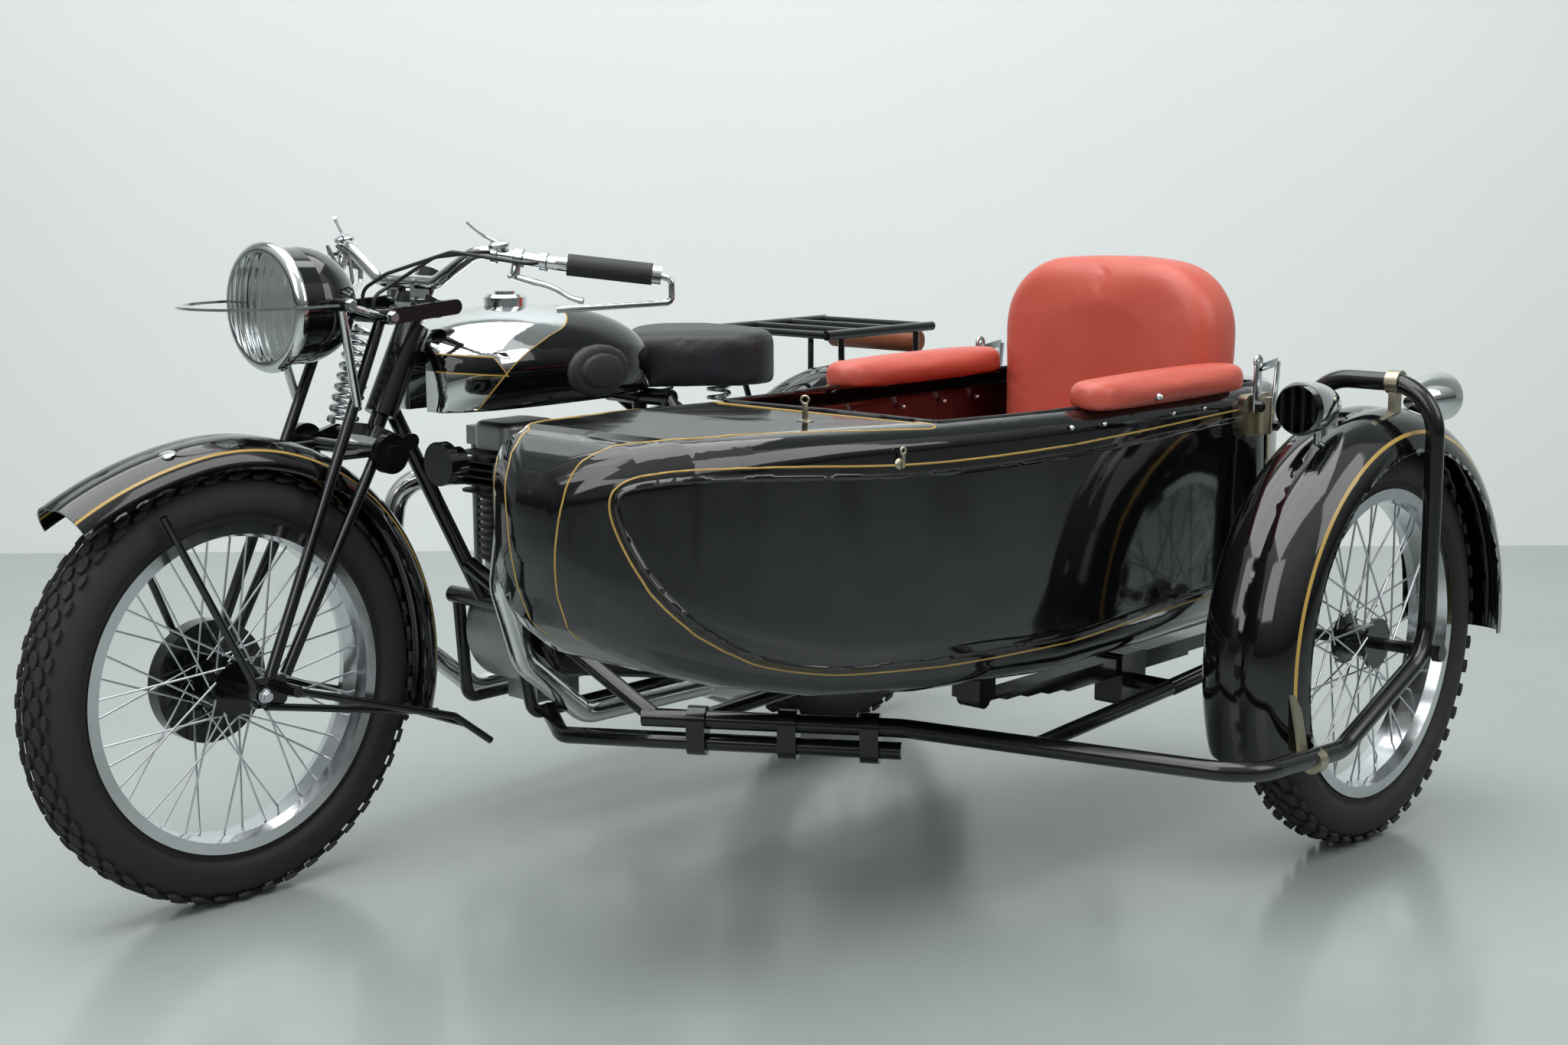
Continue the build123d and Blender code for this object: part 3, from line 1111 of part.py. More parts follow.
with BuildPart() as tool_roll:
    x = CARRIER_X + CARRIER_LENGTH
    z = CARRIER_Z - CARRIER_BAR_R - SEAT_GAP - TOOL_ROLL_R
    bar((x, -TOOL_ROLL_LENGTH / 2, z), (x, TOOL_ROLL_LENGTH / 2, z), TOOL_ROLL_R)
keep(tool_roll, "tool_roll")

with BuildPart() as horn:
    bar((HORN_X, HORN_Y, HORN_Z), (HORN_X + HORN_LENGTH * 0.4, HORN_Y, HORN_Z), HORN_R)
    bar((HORN_X, HORN_Y, HORN_Z), (HORN_X + HORN_LENGTH, HORN_Y, HORN_Z), HORN_R * 0.7)
    bar((HORN_X + STAND_R, HORN_Y, HORN_Z), (HORN_X + STAND_R, 0, HORN_Z), STAY_R)
    add(motorcycle_frame.part, mode=Mode.SUBTRACT)
keep(horn, "horn")

OIL_TANK_X = 900
OIL_TANK_Z = 545
OIL_TANK_GAP = 2
with BuildPart() as oil_tank:
    y = TUBE_R + OIL_TANK_GAP + OIL_TANK_WIDTH
    with BuildSketch(side_plane(y, OIL_TANK_X, OIL_TANK_Z)) as shell:
        RectangleRounded(OIL_TANK_LENGTH, OIL_TANK_HEIGHT, OIL_TANK_LENGTH / 4)
    extrude(shell.sketch, amount=OIL_TANK_WIDTH)
    fillet(oil_tank.faces().sort_by(Axis.Y)[-1].edges(), OIL_TANK_WIDTH / 4)
    bar((OIL_TANK_X - OVERRUN / 2, TUBE_R, OIL_TANK_Z + OVERRUN), (OIL_TANK_X - OVERRUN / 2, y / 2, OIL_TANK_Z + OVERRUN), CLAMP_R)
    add(motorcycle_frame.part, mode=Mode.SUBTRACT)
keep(oil_tank, "oil_tank")

REAR_STAND_X = WHEELBASE + 28
REAR_STAND_Z = TYRE_R - 28
REAR_STAND_END_X = WHEELBASE + STAND_REACH
REAR_STAND_END_Z = 480
with BuildPart() as rear_stand:
    for side in (-1, 1):
        y = side * STAND_HALF
        bar((REAR_STAND_X, y, REAR_STAND_Z), (REAR_STAND_END_X, y, REAR_STAND_END_Z), STAND_R)
        bar((REAR_STAND_X, side * (STAY_HALF + DROPOUT_WALL / 2 + SEAT_GAP), REAR_STAND_Z),
            (REAR_STAND_X, y + side * STAY_R, REAR_STAND_Z), AXLE_R)
    reach = STAND_HALF + STAY_R
    bar((REAR_STAND_END_X, -reach, REAR_STAND_END_Z), (REAR_STAND_END_X, reach, REAR_STAND_END_Z), AXLE_R)
keep(rear_stand, "rear_stand")

# Sidecar chassis
HOOP_ROUTE = [
    (FRONT_CROSS_X, FRONT_CROSS_Y, CHASSIS_Z),
    (CROSS_BEND_X, CROSS_BEND_Y, CHASSIS_Z),
    (OUTER_BEND_X, HOOP_Y, CHASSIS_Z),
    (HOOP_LOW_X, HOOP_Y, CHASSIS_Z - CHASSIS_R),
    (WHEELBASE, HOOP_Y, TYRE_R),
    (WHEELBASE, HOOP_Y, HOOP_TOP_Z),
    (WHEELBASE, HOOP_INNER_Y, HOOP_TOP_Z),
    (WHEELBASE, HOOP_INNER_Y, TYRE_R),
]
with BuildPart() as sidecar_chassis:
    tube(HOOP_ROUTE, CHASSIS_R, CHASSIS_BEND_R)
    outer_rear = (REAR_CROSS_X, OUTER_RAIL_Y, REAR_CROSS_Z)
    bar((REAR_CROSS_X, -STAY_HALF, REAR_CROSS_Z), outer_rear, TUBE_R)
    bar(outer_rear, (WHEELBASE, HOOP_INNER_Y, TYRE_R), ARM_R)
    bar((INNER_RAIL_FRONT_X, INNER_RAIL_Y, CHASSIS_Z), (REAR_CROSS_X, INNER_RAIL_Y, REAR_CROSS_Z), FRAME_CROSS_R - LINK_GAP)
    bar((OUTER_RAIL_FRONT_X, OUTER_RAIL_Y, CHASSIS_Z), outer_rear, FRAME_CROSS_R - LINK_GAP)
    inner_end = HOOP_INNER_Y + CHASSIS_R + AXLE_NUT_WIDTH / 2
    bar((WHEELBASE, inner_end, TYRE_R), (WHEELBASE, HOOP_Y - CHASSIS_R, TYRE_R), AXLE_R)
    with BuildSketch(side_plane(HOOP_Y - CHASSIS_R, WHEELBASE, TYRE_R)) as nut:
        RegularPolygon(AXLE_NUT_R, 6)
    extrude(nut.sketch, amount=AXLE_NUT_WIDTH)
    add(cradle_rails.part, mode=Mode.SUBTRACT)
keep(sidecar_chassis, "sidecar_chassis")

# The couplings: the lower arm's places, and the shares of its last stretch where the clamps are
LOW_ARM = [
    (LOW_ARM_X, -RAIL_HALF, RAIL_Z),
    (LOW_ARM_X - OVERRUN, -PIPE_HALF - PIPE_R, LOW_ARM_DIP_Z),
    (FRONT_CROSS_X + STAY_R, FRONT_CROSS_Y - STAY_R, LOW_ARM_Z),
    (CROSS_BEND_X, CROSS_BEND_Y, LOW_ARM_Z),
]
CLAMP_SHARES = [0.2, 0.56, 0.88]
with BuildPart() as coupling_arms:
    bar((UPPER_ARM_X, -TUBE_R / 2, UPPER_ARM_Z), along(*HOOP_ROUTE[:2], UPPER_ARM_SHARE), ARM_R)
    tube(LOW_ARM, ARM_R, CLAMP_R * 2)
    for share in CLAMP_SHARES:
        middle = spot(*along(*LOW_ARM[2:], share)) + Vector(0, 0, (CHASSIS_Z - LOW_ARM_Z) / 2)
        way = spot(*LOW_ARM[3]) - spot(*LOW_ARM[2])
        with BuildSketch(Plane(origin=middle, x_dir=(0, 0, 1), z_dir=way)) as clamp:
            SlotOverall(CHASSIS_Z - LOW_ARM_Z + CLAMP_R * 2, CLAMP_R * 2)
        extrude(clamp.sketch, amount=CLAMP_WIDTH / 2, both=True)
    bar((STRUT_X, INNER_RAIL_Y, REAR_CROSS_Z - RUN_GAP), (SADDLE_LUG[0], -SEAT_STAY_TOP_HALF, SADDLE_LUG[2]), ARM_R)
    add(motorcycle_frame.part, mode=Mode.SUBTRACT)
    add(cradle_rails.part, mode=Mode.SUBTRACT)
    add(rear_stays.part, mode=Mode.SUBTRACT)
    add(sidecar_chassis.part, mode=Mode.SUBTRACT)
keep(coupling_arms, "coupling_arms")

LEAF_BLOCK = 70
EYE_BLOCK = 40
with BuildPart() as leaf_springs:
    for y in SPRING_Y:
        top = REAR_CROSS_Z + TUBE_R + LEAF_COUNT * LEAF_WALL
        for k in range(LEAF_COUNT):
            half = LEAF_HALF * (1 - k * LEAF_STEP_SHARE)
            with BuildSketch(side_plane(y + LEAF_WIDTH / 2, REAR_CROSS_X, top - k * LEAF_WALL)) as leaf:
                Rectangle(half * 2, LEAF_WALL, align=(Align.CENTER, Align.MAX))
            extrude(leaf.sketch, amount=LEAF_WIDTH)
        for end in (-1, 1):
            x = REAR_CROSS_X + end * LEAF_HALF
            bar((x, y - LEAF_WIDTH / 2, top), (x, y + LEAF_WIDTH / 2, top), LEAF_EYE_R)
    add(sidecar_chassis.part, mode=Mode.SUBTRACT)
keep(leaf_springs, "leaf_springs")

# Sidecar body, from nose to tail: share of the length, share of the half width, shares of the height
# to the keel and to the top, and the shares of the half width that the top and keel corners take
BODY_SHARES = [
    (0.0, 0.13, 0.63, 0.83, 0.9, 0.9),
    (0.006, 0.25, 0.52, 0.905, 0.75, 0.85),
    (0.018, 0.39, 0.42, 0.95, 0.55, 0.75),
    (0.04, 0.54, 0.35, 0.985, 0.4, 0.65),
    (0.074, 0.675, 0.27, 1.0, 0.3, 0.58),
    (0.131, 0.765, 0.19, 0.995, 0.22, 0.5),
    (0.22, 0.83, 0.105, 0.985, 0.17, 0.42),
    (0.339, 0.905, 0.04, 0.967, 0.14, 0.38),
    (0.5, 0.99, 0.0, 0.958, 0.125, 0.35),
    (0.655, 1.0, 0.0, 0.953, 0.125, 0.35),
    (0.81, 0.99, 0.0, 0.95, 0.125, 0.35),
    (0.875, 0.9, 0.005, 0.945, 0.14, 0.4),
    (0.935, 0.69, 0.06, 0.93, 0.2, 0.5),
    (0.976, 0.48, 0.15, 0.88, 0.35, 0.6),
    (1.0, 0.3, 0.26, 0.76, 0.6, 0.7),
]
# Plan of the body: share of the length to a circle's middle, its place across and its radius as shares of the half width
PLAN_SHARES = [(0.12, 0, 0.735), (0.52, 0.25, 0.75), (0.805, 0.25, 0.75), (0.967, 0.22, 0.22)]
DECK_X = 110


def body_section(along, half_share, low_share, top_share, top_corner, keel_corner, wall):
    """Return one cross-section of the body, drawn in by a wall."""
    length, height = BODY_TAIL_X - BODY_NOSE_X, BODY_DECK_Z - BODY_LOW_Z
    x = BODY_NOSE_X + along * length + wall * (1 - 2 * along)
    half = half_share * BODY_HALF - wall
    low, top = BODY_LOW_Z + low_share * height + wall, BODY_LOW_Z + top_share * height - wall
    high_r, low_r = half * top_corner, half * keel_corner
    with BuildSketch(Plane(origin=spot(x, BODY_Y, 0), x_dir=(0, 1, 0), z_dir=(1, 0, 0))) as section:
        with BuildLine():
            Line((low_r - half, low), (half - low_r, low))
            CenterArc((half - low_r, low + low_r), low_r, -90, 90)
            Line((half, low + low_r), (half, top - high_r))
            CenterArc((half - high_r, top - high_r), high_r, 0, 90)
            Line((half - high_r, top), (high_r - half, top))
            CenterArc((high_r - half, top - high_r), high_r, 90, 90)
            Line((-half, top - high_r), (-half, low + low_r))
            CenterArc((low_r - half, low + low_r), low_r, 180, 90)
        make_face()
    return section.sketch


def body_solid(wall):
    """Add the body's outline, drawn in by a wall."""
    loft([body_section(*shares, wall) for shares in BODY_SHARES], ruled=True)


def body_plan(wall):
    """Return the plan of the body, drawn in by a wall, at floor level."""
    with BuildSketch(Plane(origin=spot(0, BODY_Y, 0))) as plan:
        for along, across, radius in PLAN_SHARES:
            x = BODY_NOSE_X + along * (BODY_TAIL_X - BODY_NOSE_X)
            with Locations(*[(x, side * across * BODY_HALF) for side in (-1, 1)]):
                Circle(radius * BODY_HALF - wall)
        make_hull()
    return plan.sketch


def body_span(wall, front, rear, low):
    """Add the column above the plan, between two stations and above a height."""
    extrude(body_plan(wall), amount=BODY_DECK_Z + OVERRUN)
    with BuildSketch(side_plane(BODY_Y, front, low)) as span:
        Rectangle(rear - front, BODY_DECK_Z, align=Align.MIN)
    extrude(span.sketch, amount=BODY_HALF + OVERRUN, both=True, mode=Mode.INTERSECT)


with BuildPart() as body_form:
    body_solid(0)
with BuildPart() as body_hollow:
    body_solid(BODY_WALL)
with BuildPart() as body_lining:
    body_solid(BODY_WALL + PANEL_WALL)
with BuildPart() as sidecar_deck:
    body_span(DECK_INSET, DECK_X + RUN_GAP, COCKPIT_FRONT_X, BODY_TOP_Z - OVERRUN)
    add(body_form.part, mode=Mode.INTERSECT)
    add(body_hollow.part, mode=Mode.SUBTRACT)
keep(sidecar_deck, "sidecar_deck")

with BuildPart() as cockpit_mouth:
    body_span(MOUTH_INSET, COCKPIT_FRONT_X, COCKPIT_REAR_X, BODY_TOP_Z - OVERRUN)
with BuildPart() as sidecar_body:
    add(body_form.part)
    add(body_hollow.part, mode=Mode.SUBTRACT)
    add(cockpit_mouth.part, mode=Mode.SUBTRACT)
    add(sidecar_deck.part, mode=Mode.SUBTRACT)
keep(sidecar_body, "sidecar_body")

# Inside the cockpit
with BuildPart() as seat_base:
    with BuildSketch(side_plane(BODY_Y, CUSHION_FRONT_X, BOARD_Z)) as base:
        Rectangle(CUSHION_REAR_X - CUSHION_FRONT_X, CUSHION_LOW_Z - BOARD_Z, align=Align.MIN)
    extrude(base.sketch, amount=CUSHION_HALF, both=True)
    add(body_hollow.part, mode=Mode.INTERSECT)
with BuildPart() as inner_panels:
    with BuildSketch(side_plane(BODY_Y, PANEL_FRONT_X, BODY_LOW_Z)) as span:
        Rectangle(COCKPIT_REAR_X - PANEL_FRONT_X, BODY_TOP_Z - MOUTH_INSET - BODY_LOW_Z, align=Align.MIN)
    extrude(span.sketch, amount=BODY_HALF + OVERRUN, both=True)
    add(body_hollow.part, mode=Mode.INTERSECT)
    add(body_lining.part, mode=Mode.SUBTRACT)
    add(seat_base.part)
    with BuildSketch(side_plane(BODY_Y, BACKREST_X + BACKREST_WALL, BOARD_Z)) as board:
        Rectangle(PANEL_WALL, BACKREST_TOP_Z - BOARD_Z - BACKREST_CORNER_R, align=Align.MIN)
    extrude(board.sketch, amount=BACKREST_HALF - PAD_EDGE_R, both=True)
keep(inner_panels, "inner_panels")

with BuildPart() as seat_cushion:
    with BuildSketch(side_plane(BODY_Y, CUSHION_FRONT_X, CUSHION_LOW_Z)) as pad:
        Rectangle(CUSHION_REAR_X - CUSHION_FRONT_X, CUSHION_WALL, align=Align.MIN)
    extrude(pad.sketch, amount=CUSHION_HALF, both=True)
    fillet(seat_cushion.faces().sort_by(Axis.Z)[-1].edges(), PAD_EDGE_R)
keep(seat_cushion, "seat_cushion")

with BuildPart() as backrest:
    with BuildSketch(Plane(origin=spot(BACKREST_X, BODY_Y, BACKREST_LOW_Z), x_dir=(0, 1, 0), z_dir=(1, 0, 0))) as pad:
        RectangleRounded(BACKREST_HALF * 2, BACKREST_TOP_Z - BACKREST_LOW_Z, BACKREST_CORNER_R, align=(Align.CENTER, Align.MIN))
    extrude(pad.sketch, amount=BACKREST_WALL)
    fillet(backrest.faces().sort_by(Axis.X)[0].edges(), PAD_EDGE_R)
keep(backrest, "backrest")

with BuildPart() as armrests:
    for side in (-1, 1):
        y = BODY_Y + side * ARMREST_HALF
        with BuildSketch(Plane(origin=spot(ARMREST_FRONT_X + ARMREST_LENGTH / 2, y, BODY_TOP_Z + SEAT_GAP))) as pad:
            SlotOverall(ARMREST_LENGTH, ARMREST_WIDTH)
        extrude(pad.sketch, amount=ARMREST_WALL)
    tops = armrests.faces().filter_by(Plane.XY).sort_by(Axis.Z)[-2:]
    fillet(tops.edges(), ARMREST_WALL * 0.4)
    add(body_form.part, mode=Mode.SUBTRACT)
keep(armrests, "armrests")

# Sidecar mudguard, straps and lamps
CAR_GUARD_ANGLES = (-5, 201)
with BuildPart() as sidecar_mudguard:
    guard(WHEELBASE, -TRACK, *CAR_GUARD_ANGLES, GUARD_R, CAR_GUARD_HALF, CAR_GUARD_DEPTH)
keep(sidecar_mudguard, "sidecar_mudguard")

# Straps: the strap's foot and head as places across the machine and heights
LOW_STRAP = [(-1248, 222), (-1243, 222), (-1222, 322), (-1227, 322)]
HIGH_STRAP = [(-1196, 690), (-1184, 690), (-1184, 762), (-1196, 762)]
with BuildPart() as sidecar_brackets:
    for x, strap in ((LOW_STRAP_X, LOW_STRAP), (WHEELBASE, HIGH_STRAP)):
        with BuildSketch(Plane(origin=spot(x, 0, 0), x_dir=(0, 1, 0), z_dir=(1, 0, 0))) as plate:
            Polygon(*strap, align=None)
        extrude(plate.sketch, amount=STRAP_WIDTH / 2, both=True)
    bar((LOW_STRAP_X - STRAP_WIDTH / 2, HOOP_Y, CLAMP_LOW_Z), (LOW_STRAP_X + STRAP_WIDTH / 2, HOOP_Y, CLAMP_LOW_Z), STRAP_R)
    bar((WHEELBASE, STRAP_Y - STRAP_WIDTH / 2, HOOP_TOP_Z), (WHEELBASE, STRAP_Y + STRAP_WIDTH / 2, HOOP_TOP_Z), STRAP_R)
    add(sidecar_chassis.part, mode=Mode.SUBTRACT)
    add(sidecar_mudguard.part, mode=Mode.SUBTRACT)
    for side in (-1, 1):
        root = spot(BRACKET_X, BODY_Y + side * (BODY_HALF - BRACKET_WALL), BRACKET_Z)
        with BuildSketch(Plane(origin=root, x_dir=(1, 0, 0), z_dir=(0, side, 0))) as plate:
            RectangleRounded(BRACKET_LENGTH, BRACKET_HEIGHT, CLAMP_R)
        extrude(plate.sketch, amount=BRACKET_WALL * 2)
        y = BODY_Y + side * (BODY_HALF + BRACKET_WALL + SOCKET_R / 2)
        low, high = BRACKET_Z - SOCKET_LENGTH / 2, BRACKET_Z + SOCKET_LENGTH / 2
        bar((BRACKET_X, y, low), (BRACKET_X, y, high), SOCKET_R)
        with BuildSketch(Plane(origin=spot(BRACKET_X, y, low))) as bore:
            Circle(BRACKET_BORE_R)
        extrude(bore.sketch, amount=SOCKET_LENGTH, mode=Mode.SUBTRACT)
    add(body_form.part, mode=Mode.SUBTRACT)
keep(sidecar_brackets, "sidecar_brackets")

# Lamps: front place, centre height, way the light faces, radius, length
LAMPS = [
    (WHEELBASE - CAR_LAMP_AHEAD, -TRACK, CAR_LAMP_Z, -1, CAR_LAMP_R, CAR_LAMP_LENGTH),
    (WHEELBASE + CAR_LAMP_BEHIND, -TRACK, CAR_LAMP_Z - OVERRUN / 2, 1, CAR_LAMP_R, CAR_LAMP_LENGTH),
    (WHEELBASE + TAIL_LAMP_BEHIND, 0, TAIL_LAMP_Z, 1, REAR_LAMP_R, REAR_LAMP_LENGTH),
]


def lamp(x, y, z, way, radius, length):
    """Add a torpedo lamp with its flat mouth at a place."""
    with BuildSketch(side_plane(y, x, z)) as outline:
        with BuildLine():
            Spline((0, radius), (-way * length * 0.5, radius * 0.84), (-way * length, radius * 0.2))
            Line((-way * length, radius * 0.2), (-way * length, 0))
            Line((-way * length, 0), (0, 0))
            Line((0, 0), (0, radius))
        make_face()
    revolve(outline.sketch, axis=Axis(spot(0, y, z), (1, 0, 0)))


with BuildPart() as side_lamps:
    for x, y, z, way, radius, length in LAMPS:
        lamp(x, y, z, way, radius, length)
        post_x = x - way * length / 2
        bar((post_x, y, TYRE_R + GUARD_R / 2), (post_x, y, z), STAY_R)
    add(sidecar_mudguard.part, mode=Mode.SUBTRACT)
    add(rear_mudguard.part, mode=Mode.SUBTRACT)
    for y in (0, -TRACK):
        with BuildSketch(side_plane(y, WHEELBASE, TYRE_R)) as inside:
            Circle(GUARD_R - SHEET / 2)
        extrude(inside.sketch, amount=GUARD_HALF, both=True, mode=Mode.SUBTRACT)
keep(side_lamps, "side_lamps")

with BuildPart() as front_lens:
    x, y, z, way, radius, length = LAMPS[0]
    bar((x - LENS_STEP, y, z), (x, y, z), radius - RUN_GAP)
keep(front_lens, "front_lens")

with BuildPart() as tail_lenses:
    for x, y, z, way, radius, length in LAMPS[1:]:
        bar((x, y, z), (x + LENS_STEP, y, z), radius - RUN_GAP)
keep(tail_lenses, "tail_lenses")

# Clamp blocks on the cross tube, and eye blocks under the body: place along the machine, top height
EYE_BLOCKS = [(REAR_CROSS_X - LEAF_HALF, BODY_LOW_Z), (REAR_CROSS_X + LEAF_HALF, BODY_LOW_Z + LEAF_EYE_R)]
with BuildPart() as spring_clamps:
    eye_z = REAR_CROSS_Z + TUBE_R + LEAF_COUNT * LEAF_WALL
    for y in SPRING_Y:
        with BuildSketch(side_plane(y, REAR_CROSS_X, REAR_CROSS_Z + LEAF_WALL)) as block:
            RectangleRounded(LEAF_BLOCK, TUBE_R * 2 + LEAF_COUNT * LEAF_WALL * 2, STAY_R)
        extrude(block.sketch, amount=LEAF_WIDTH / 2 + STAY_R, both=True)
        for x, top in EYE_BLOCKS:
            with BuildSketch(side_plane(y, x, eye_z)) as block:
                Rectangle(EYE_BLOCK, top - eye_z + BODY_WALL / 2, align=(Align.CENTER, Align.MIN))
            extrude(block.sketch, amount=LEAF_WIDTH / 2 + STAY_R, both=True)
    add(leaf_springs.part, mode=Mode.SUBTRACT)
    add(sidecar_chassis.part, mode=Mode.SUBTRACT)
    add(sidecar_body.part, mode=Mode.SUBTRACT)
keep(spring_clamps, "spring_clamps")
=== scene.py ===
"""The sidecar outfit dressed for its picture: enamel, chrome, rubber and leather over the CAD frame.

Places are in millimetres from the ground under the front axle, as in the part's source,
and place() moves them to the part's own frame in metres.
"""
from math import cos, hypot, pi, radians, sin

import bpy
from mathutils import Matrix, Vector


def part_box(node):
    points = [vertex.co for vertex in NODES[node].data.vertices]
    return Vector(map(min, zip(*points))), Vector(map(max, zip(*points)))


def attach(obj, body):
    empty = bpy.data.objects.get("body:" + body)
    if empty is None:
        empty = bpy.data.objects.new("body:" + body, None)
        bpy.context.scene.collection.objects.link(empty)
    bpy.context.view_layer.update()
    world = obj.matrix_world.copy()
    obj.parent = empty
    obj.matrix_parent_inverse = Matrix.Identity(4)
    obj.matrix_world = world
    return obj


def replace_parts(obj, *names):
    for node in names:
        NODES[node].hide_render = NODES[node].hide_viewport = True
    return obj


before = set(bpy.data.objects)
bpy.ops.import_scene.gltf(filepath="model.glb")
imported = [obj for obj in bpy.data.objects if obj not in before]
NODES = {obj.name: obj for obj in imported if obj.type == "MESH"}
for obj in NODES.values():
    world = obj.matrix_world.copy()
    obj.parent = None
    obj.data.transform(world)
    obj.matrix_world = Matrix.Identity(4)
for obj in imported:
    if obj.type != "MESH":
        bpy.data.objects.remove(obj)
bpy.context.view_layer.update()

MIDDLE_X, MIDDLE_Y = 734.5, -441.0
AXLE_Z = 334
WHEELS = {"front": (0, 0), "rear": (1420, 0), "sidecar": (1420, -1146)}


def place(x, y, z):
    """Return a place of the machine in the part's frame, in metres."""
    return Vector(((x - MIDDLE_X) / 1000, (y - MIDDLE_Y) / 1000, z / 1000))


# Finishes


def linear(code, alpha=1.0):
    """Return an sRGB hex colour as linear numbers."""
    parts = [int(code[i:i + 2], 16) / 255 for i in (1, 3, 5)]
    return tuple(p / 12.92 if p <= 0.04045 else ((p + 0.055) / 1.055) ** 2.4 for p in parts) + (alpha,)


def add(tree, kind, props=(), values=(), links=()):
    """Add a node with its settings, its sockets' values and what feeds them."""
    made = tree.nodes.new(kind)
    for name, value in dict(props).items():
        setattr(made, name, value)
    for socket, value in dict(values).items():
        made.inputs[socket].default_value = value
    for socket, source in dict(links).items():
        tree.links.new(source, made.inputs[socket])
    return made


def finish(name, dark, light, rough, cloud_mm, grain_mm, grain, grit_kind="ShaderNodeTexNoise", **shader):
    """Return a finish: two close colours in clouds, a roughness that wanders, and a grain in relief."""
    made = bpy.data.materials.new(name)
    made.use_nodes = True
    tree = made.node_tree
    surface = tree.nodes["Principled BSDF"]
    for socket, value in shader.items():
        surface.inputs[socket.replace("_", " ")].default_value = value
    where = add(tree, "ShaderNodeTexCoord")
    clouds = add(tree, "ShaderNodeTexNoise", values={"Scale": 1000 / cloud_mm, "Detail": 4.0},
                 links={"Vector": where.outputs["Object"]})
    mix = add(tree, "ShaderNodeMix", props={"data_type": "RGBA"},
              values={"A": linear(dark), "B": linear(light)}, links={"Factor": clouds.outputs["Fac"]})
    tree.links.new(mix.outputs["Result"], surface.inputs["Base Color"])
    spread = add(tree, "ShaderNodeMapRange", values={"To Min": rough[0], "To Max": rough[1]},
                 links={"Value": clouds.outputs["Fac"]})
    tree.links.new(spread.outputs["Result"], surface.inputs["Roughness"])
    grit = add(tree, grit_kind, values={"Scale": 1000 / grain_mm}, links={"Vector": where.outputs["Object"]})
    height = grit.outputs["Distance" if grit_kind == "ShaderNodeTexVoronoi" else "Fac"]
    relief = add(tree, "ShaderNodeBump", values={"Strength": grain, "Distance": grain_mm / 4000},
                 links={"Height": height})
    tree.links.new(relief.outputs["Normal"], surface.inputs["Normal"])
    return made


def parts_of(material):
    """Return a finish's tree, its shader, its colour mix and its coordinates."""
    tree = material.node_tree
    surface = tree.nodes["Principled BSDF"]
    mix = surface.inputs["Base Color"].links[0].from_node
    where = next(n for n in tree.nodes if n.bl_idname == "ShaderNodeTexCoord")
    return tree, surface, mix, where


def paint_over(material, mask, colour, rough=None, metallic=None):
    """Lay another colour, roughness and metal over a finish where the mask is 1."""
    tree, surface, _, _ = parts_of(material)
    for socket, value in (("Base Color", colour), ("Roughness", rough), ("Metallic", metallic)):
        if value is None:
            continue
        rgba = socket == "Base Color"
        under = surface.inputs[socket].links[0].from_socket if surface.inputs[socket].links else None
        over = add(tree, "ShaderNodeMix", props={"data_type": "RGBA" if rgba else "FLOAT"},
                   values={"B": linear(value) if rgba else value}, links={"Factor": mask})
        if under:
            tree.links.new(under, over.inputs["A"])
        else:
            over.inputs["A"].default_value = surface.inputs[socket].default_value
        tree.links.new(over.outputs["Result"], surface.inputs[socket])


GOLD = "#b8964a"
INK = "#08090a"

# Black stove enamel, sprayed and baked: deep, wet-looking, with a slow ripple of the sheet
ENAMEL = {"dark": INK, "light": "#0d0e10", "rough": (0.05, 0.11), "cloud_mm": 90, "grain_mm": 120,
          "grain": 0.05, "Coat_Weight": 0.5, "Coat_Roughness": 0.03}
enamel = finish("stove_enamel", **ENAMEL)
# The same enamel on tubes and forgings, a little duller and rubbed
tube_enamel = finish("tube_enamel", INK, "#111214", (0.12, 0.24), 40, 3, 0.06,
                     Coat_Weight=0.3, Coat_Roughness=0.08)
# Chromium on polished brass or steel: mirror bright with faint wiping marks
chrome = finish("bright_chrome", "#cfd2d4", "#e2e4e5", (0.04, 0.1), 60, 140, 0.03, Metallic=1.0)
spoke_chrome = finish("spoke_chrome", "#c6cacd", "#dfe2e4", (0.1, 0.2), 30, 20, 0.03, Metallic=1.0)
# Zinc plate on bolts and clamps: greyish yellow, softly dull
zinc = finish("zinc_plate", "#a39c88", "#c2bba6", (0.28, 0.42), 12, 1.2, 0.15, Metallic=1.0)
# Sand-cast aluminium, wire brushed
alloy = finish("cast_aluminium", "#8f9192", "#b2b4b4", (0.34, 0.5), 25, 1.4, 0.3, Metallic=1.0)
# Cast iron fins under heatproof black
iron = finish("black_iron", "#121213", "#1f1f20", (0.45, 0.62), 20, 1.1, 0.4)
# Tread rubber, near black in clouds with a dusty, scuffed grey
rubber = finish("tyre_rubber", "#1b1b1a", "#2a2927", (0.62, 0.82), 35, 1.5, 0.35)
# Moulded rubber of the grips and knee pads, with a green-grey bloom
grip_rubber = finish("grip_rubber", "#1b1e1a", "#2b2f29", (0.5, 0.65), 15, 0.8, 0.2)
# Coral hide of the sidecar seat, fine-grained and lightly waxed
red_hide = finish("coral_leather", "#b9493b", "#c85e4d", (0.34, 0.48), 120, 2.2, 0.35,
                  "ShaderNodeTexVoronoi", Coat_Weight=0.12, Coat_Roughness=0.35)
# Black saddle hide, coarse-grained
black_hide = finish("black_leather", "#15161a", "#212328", (0.36, 0.5), 60, 2.6, 0.45, "ShaderNodeTexVoronoi")
# Brown strap leather of the tool roll
brown_hide = finish("brown_leather", "#6e361f", "#93502e", (0.42, 0.58), 30, 1.8, 0.35,
                    "ShaderNodeTexVoronoi")
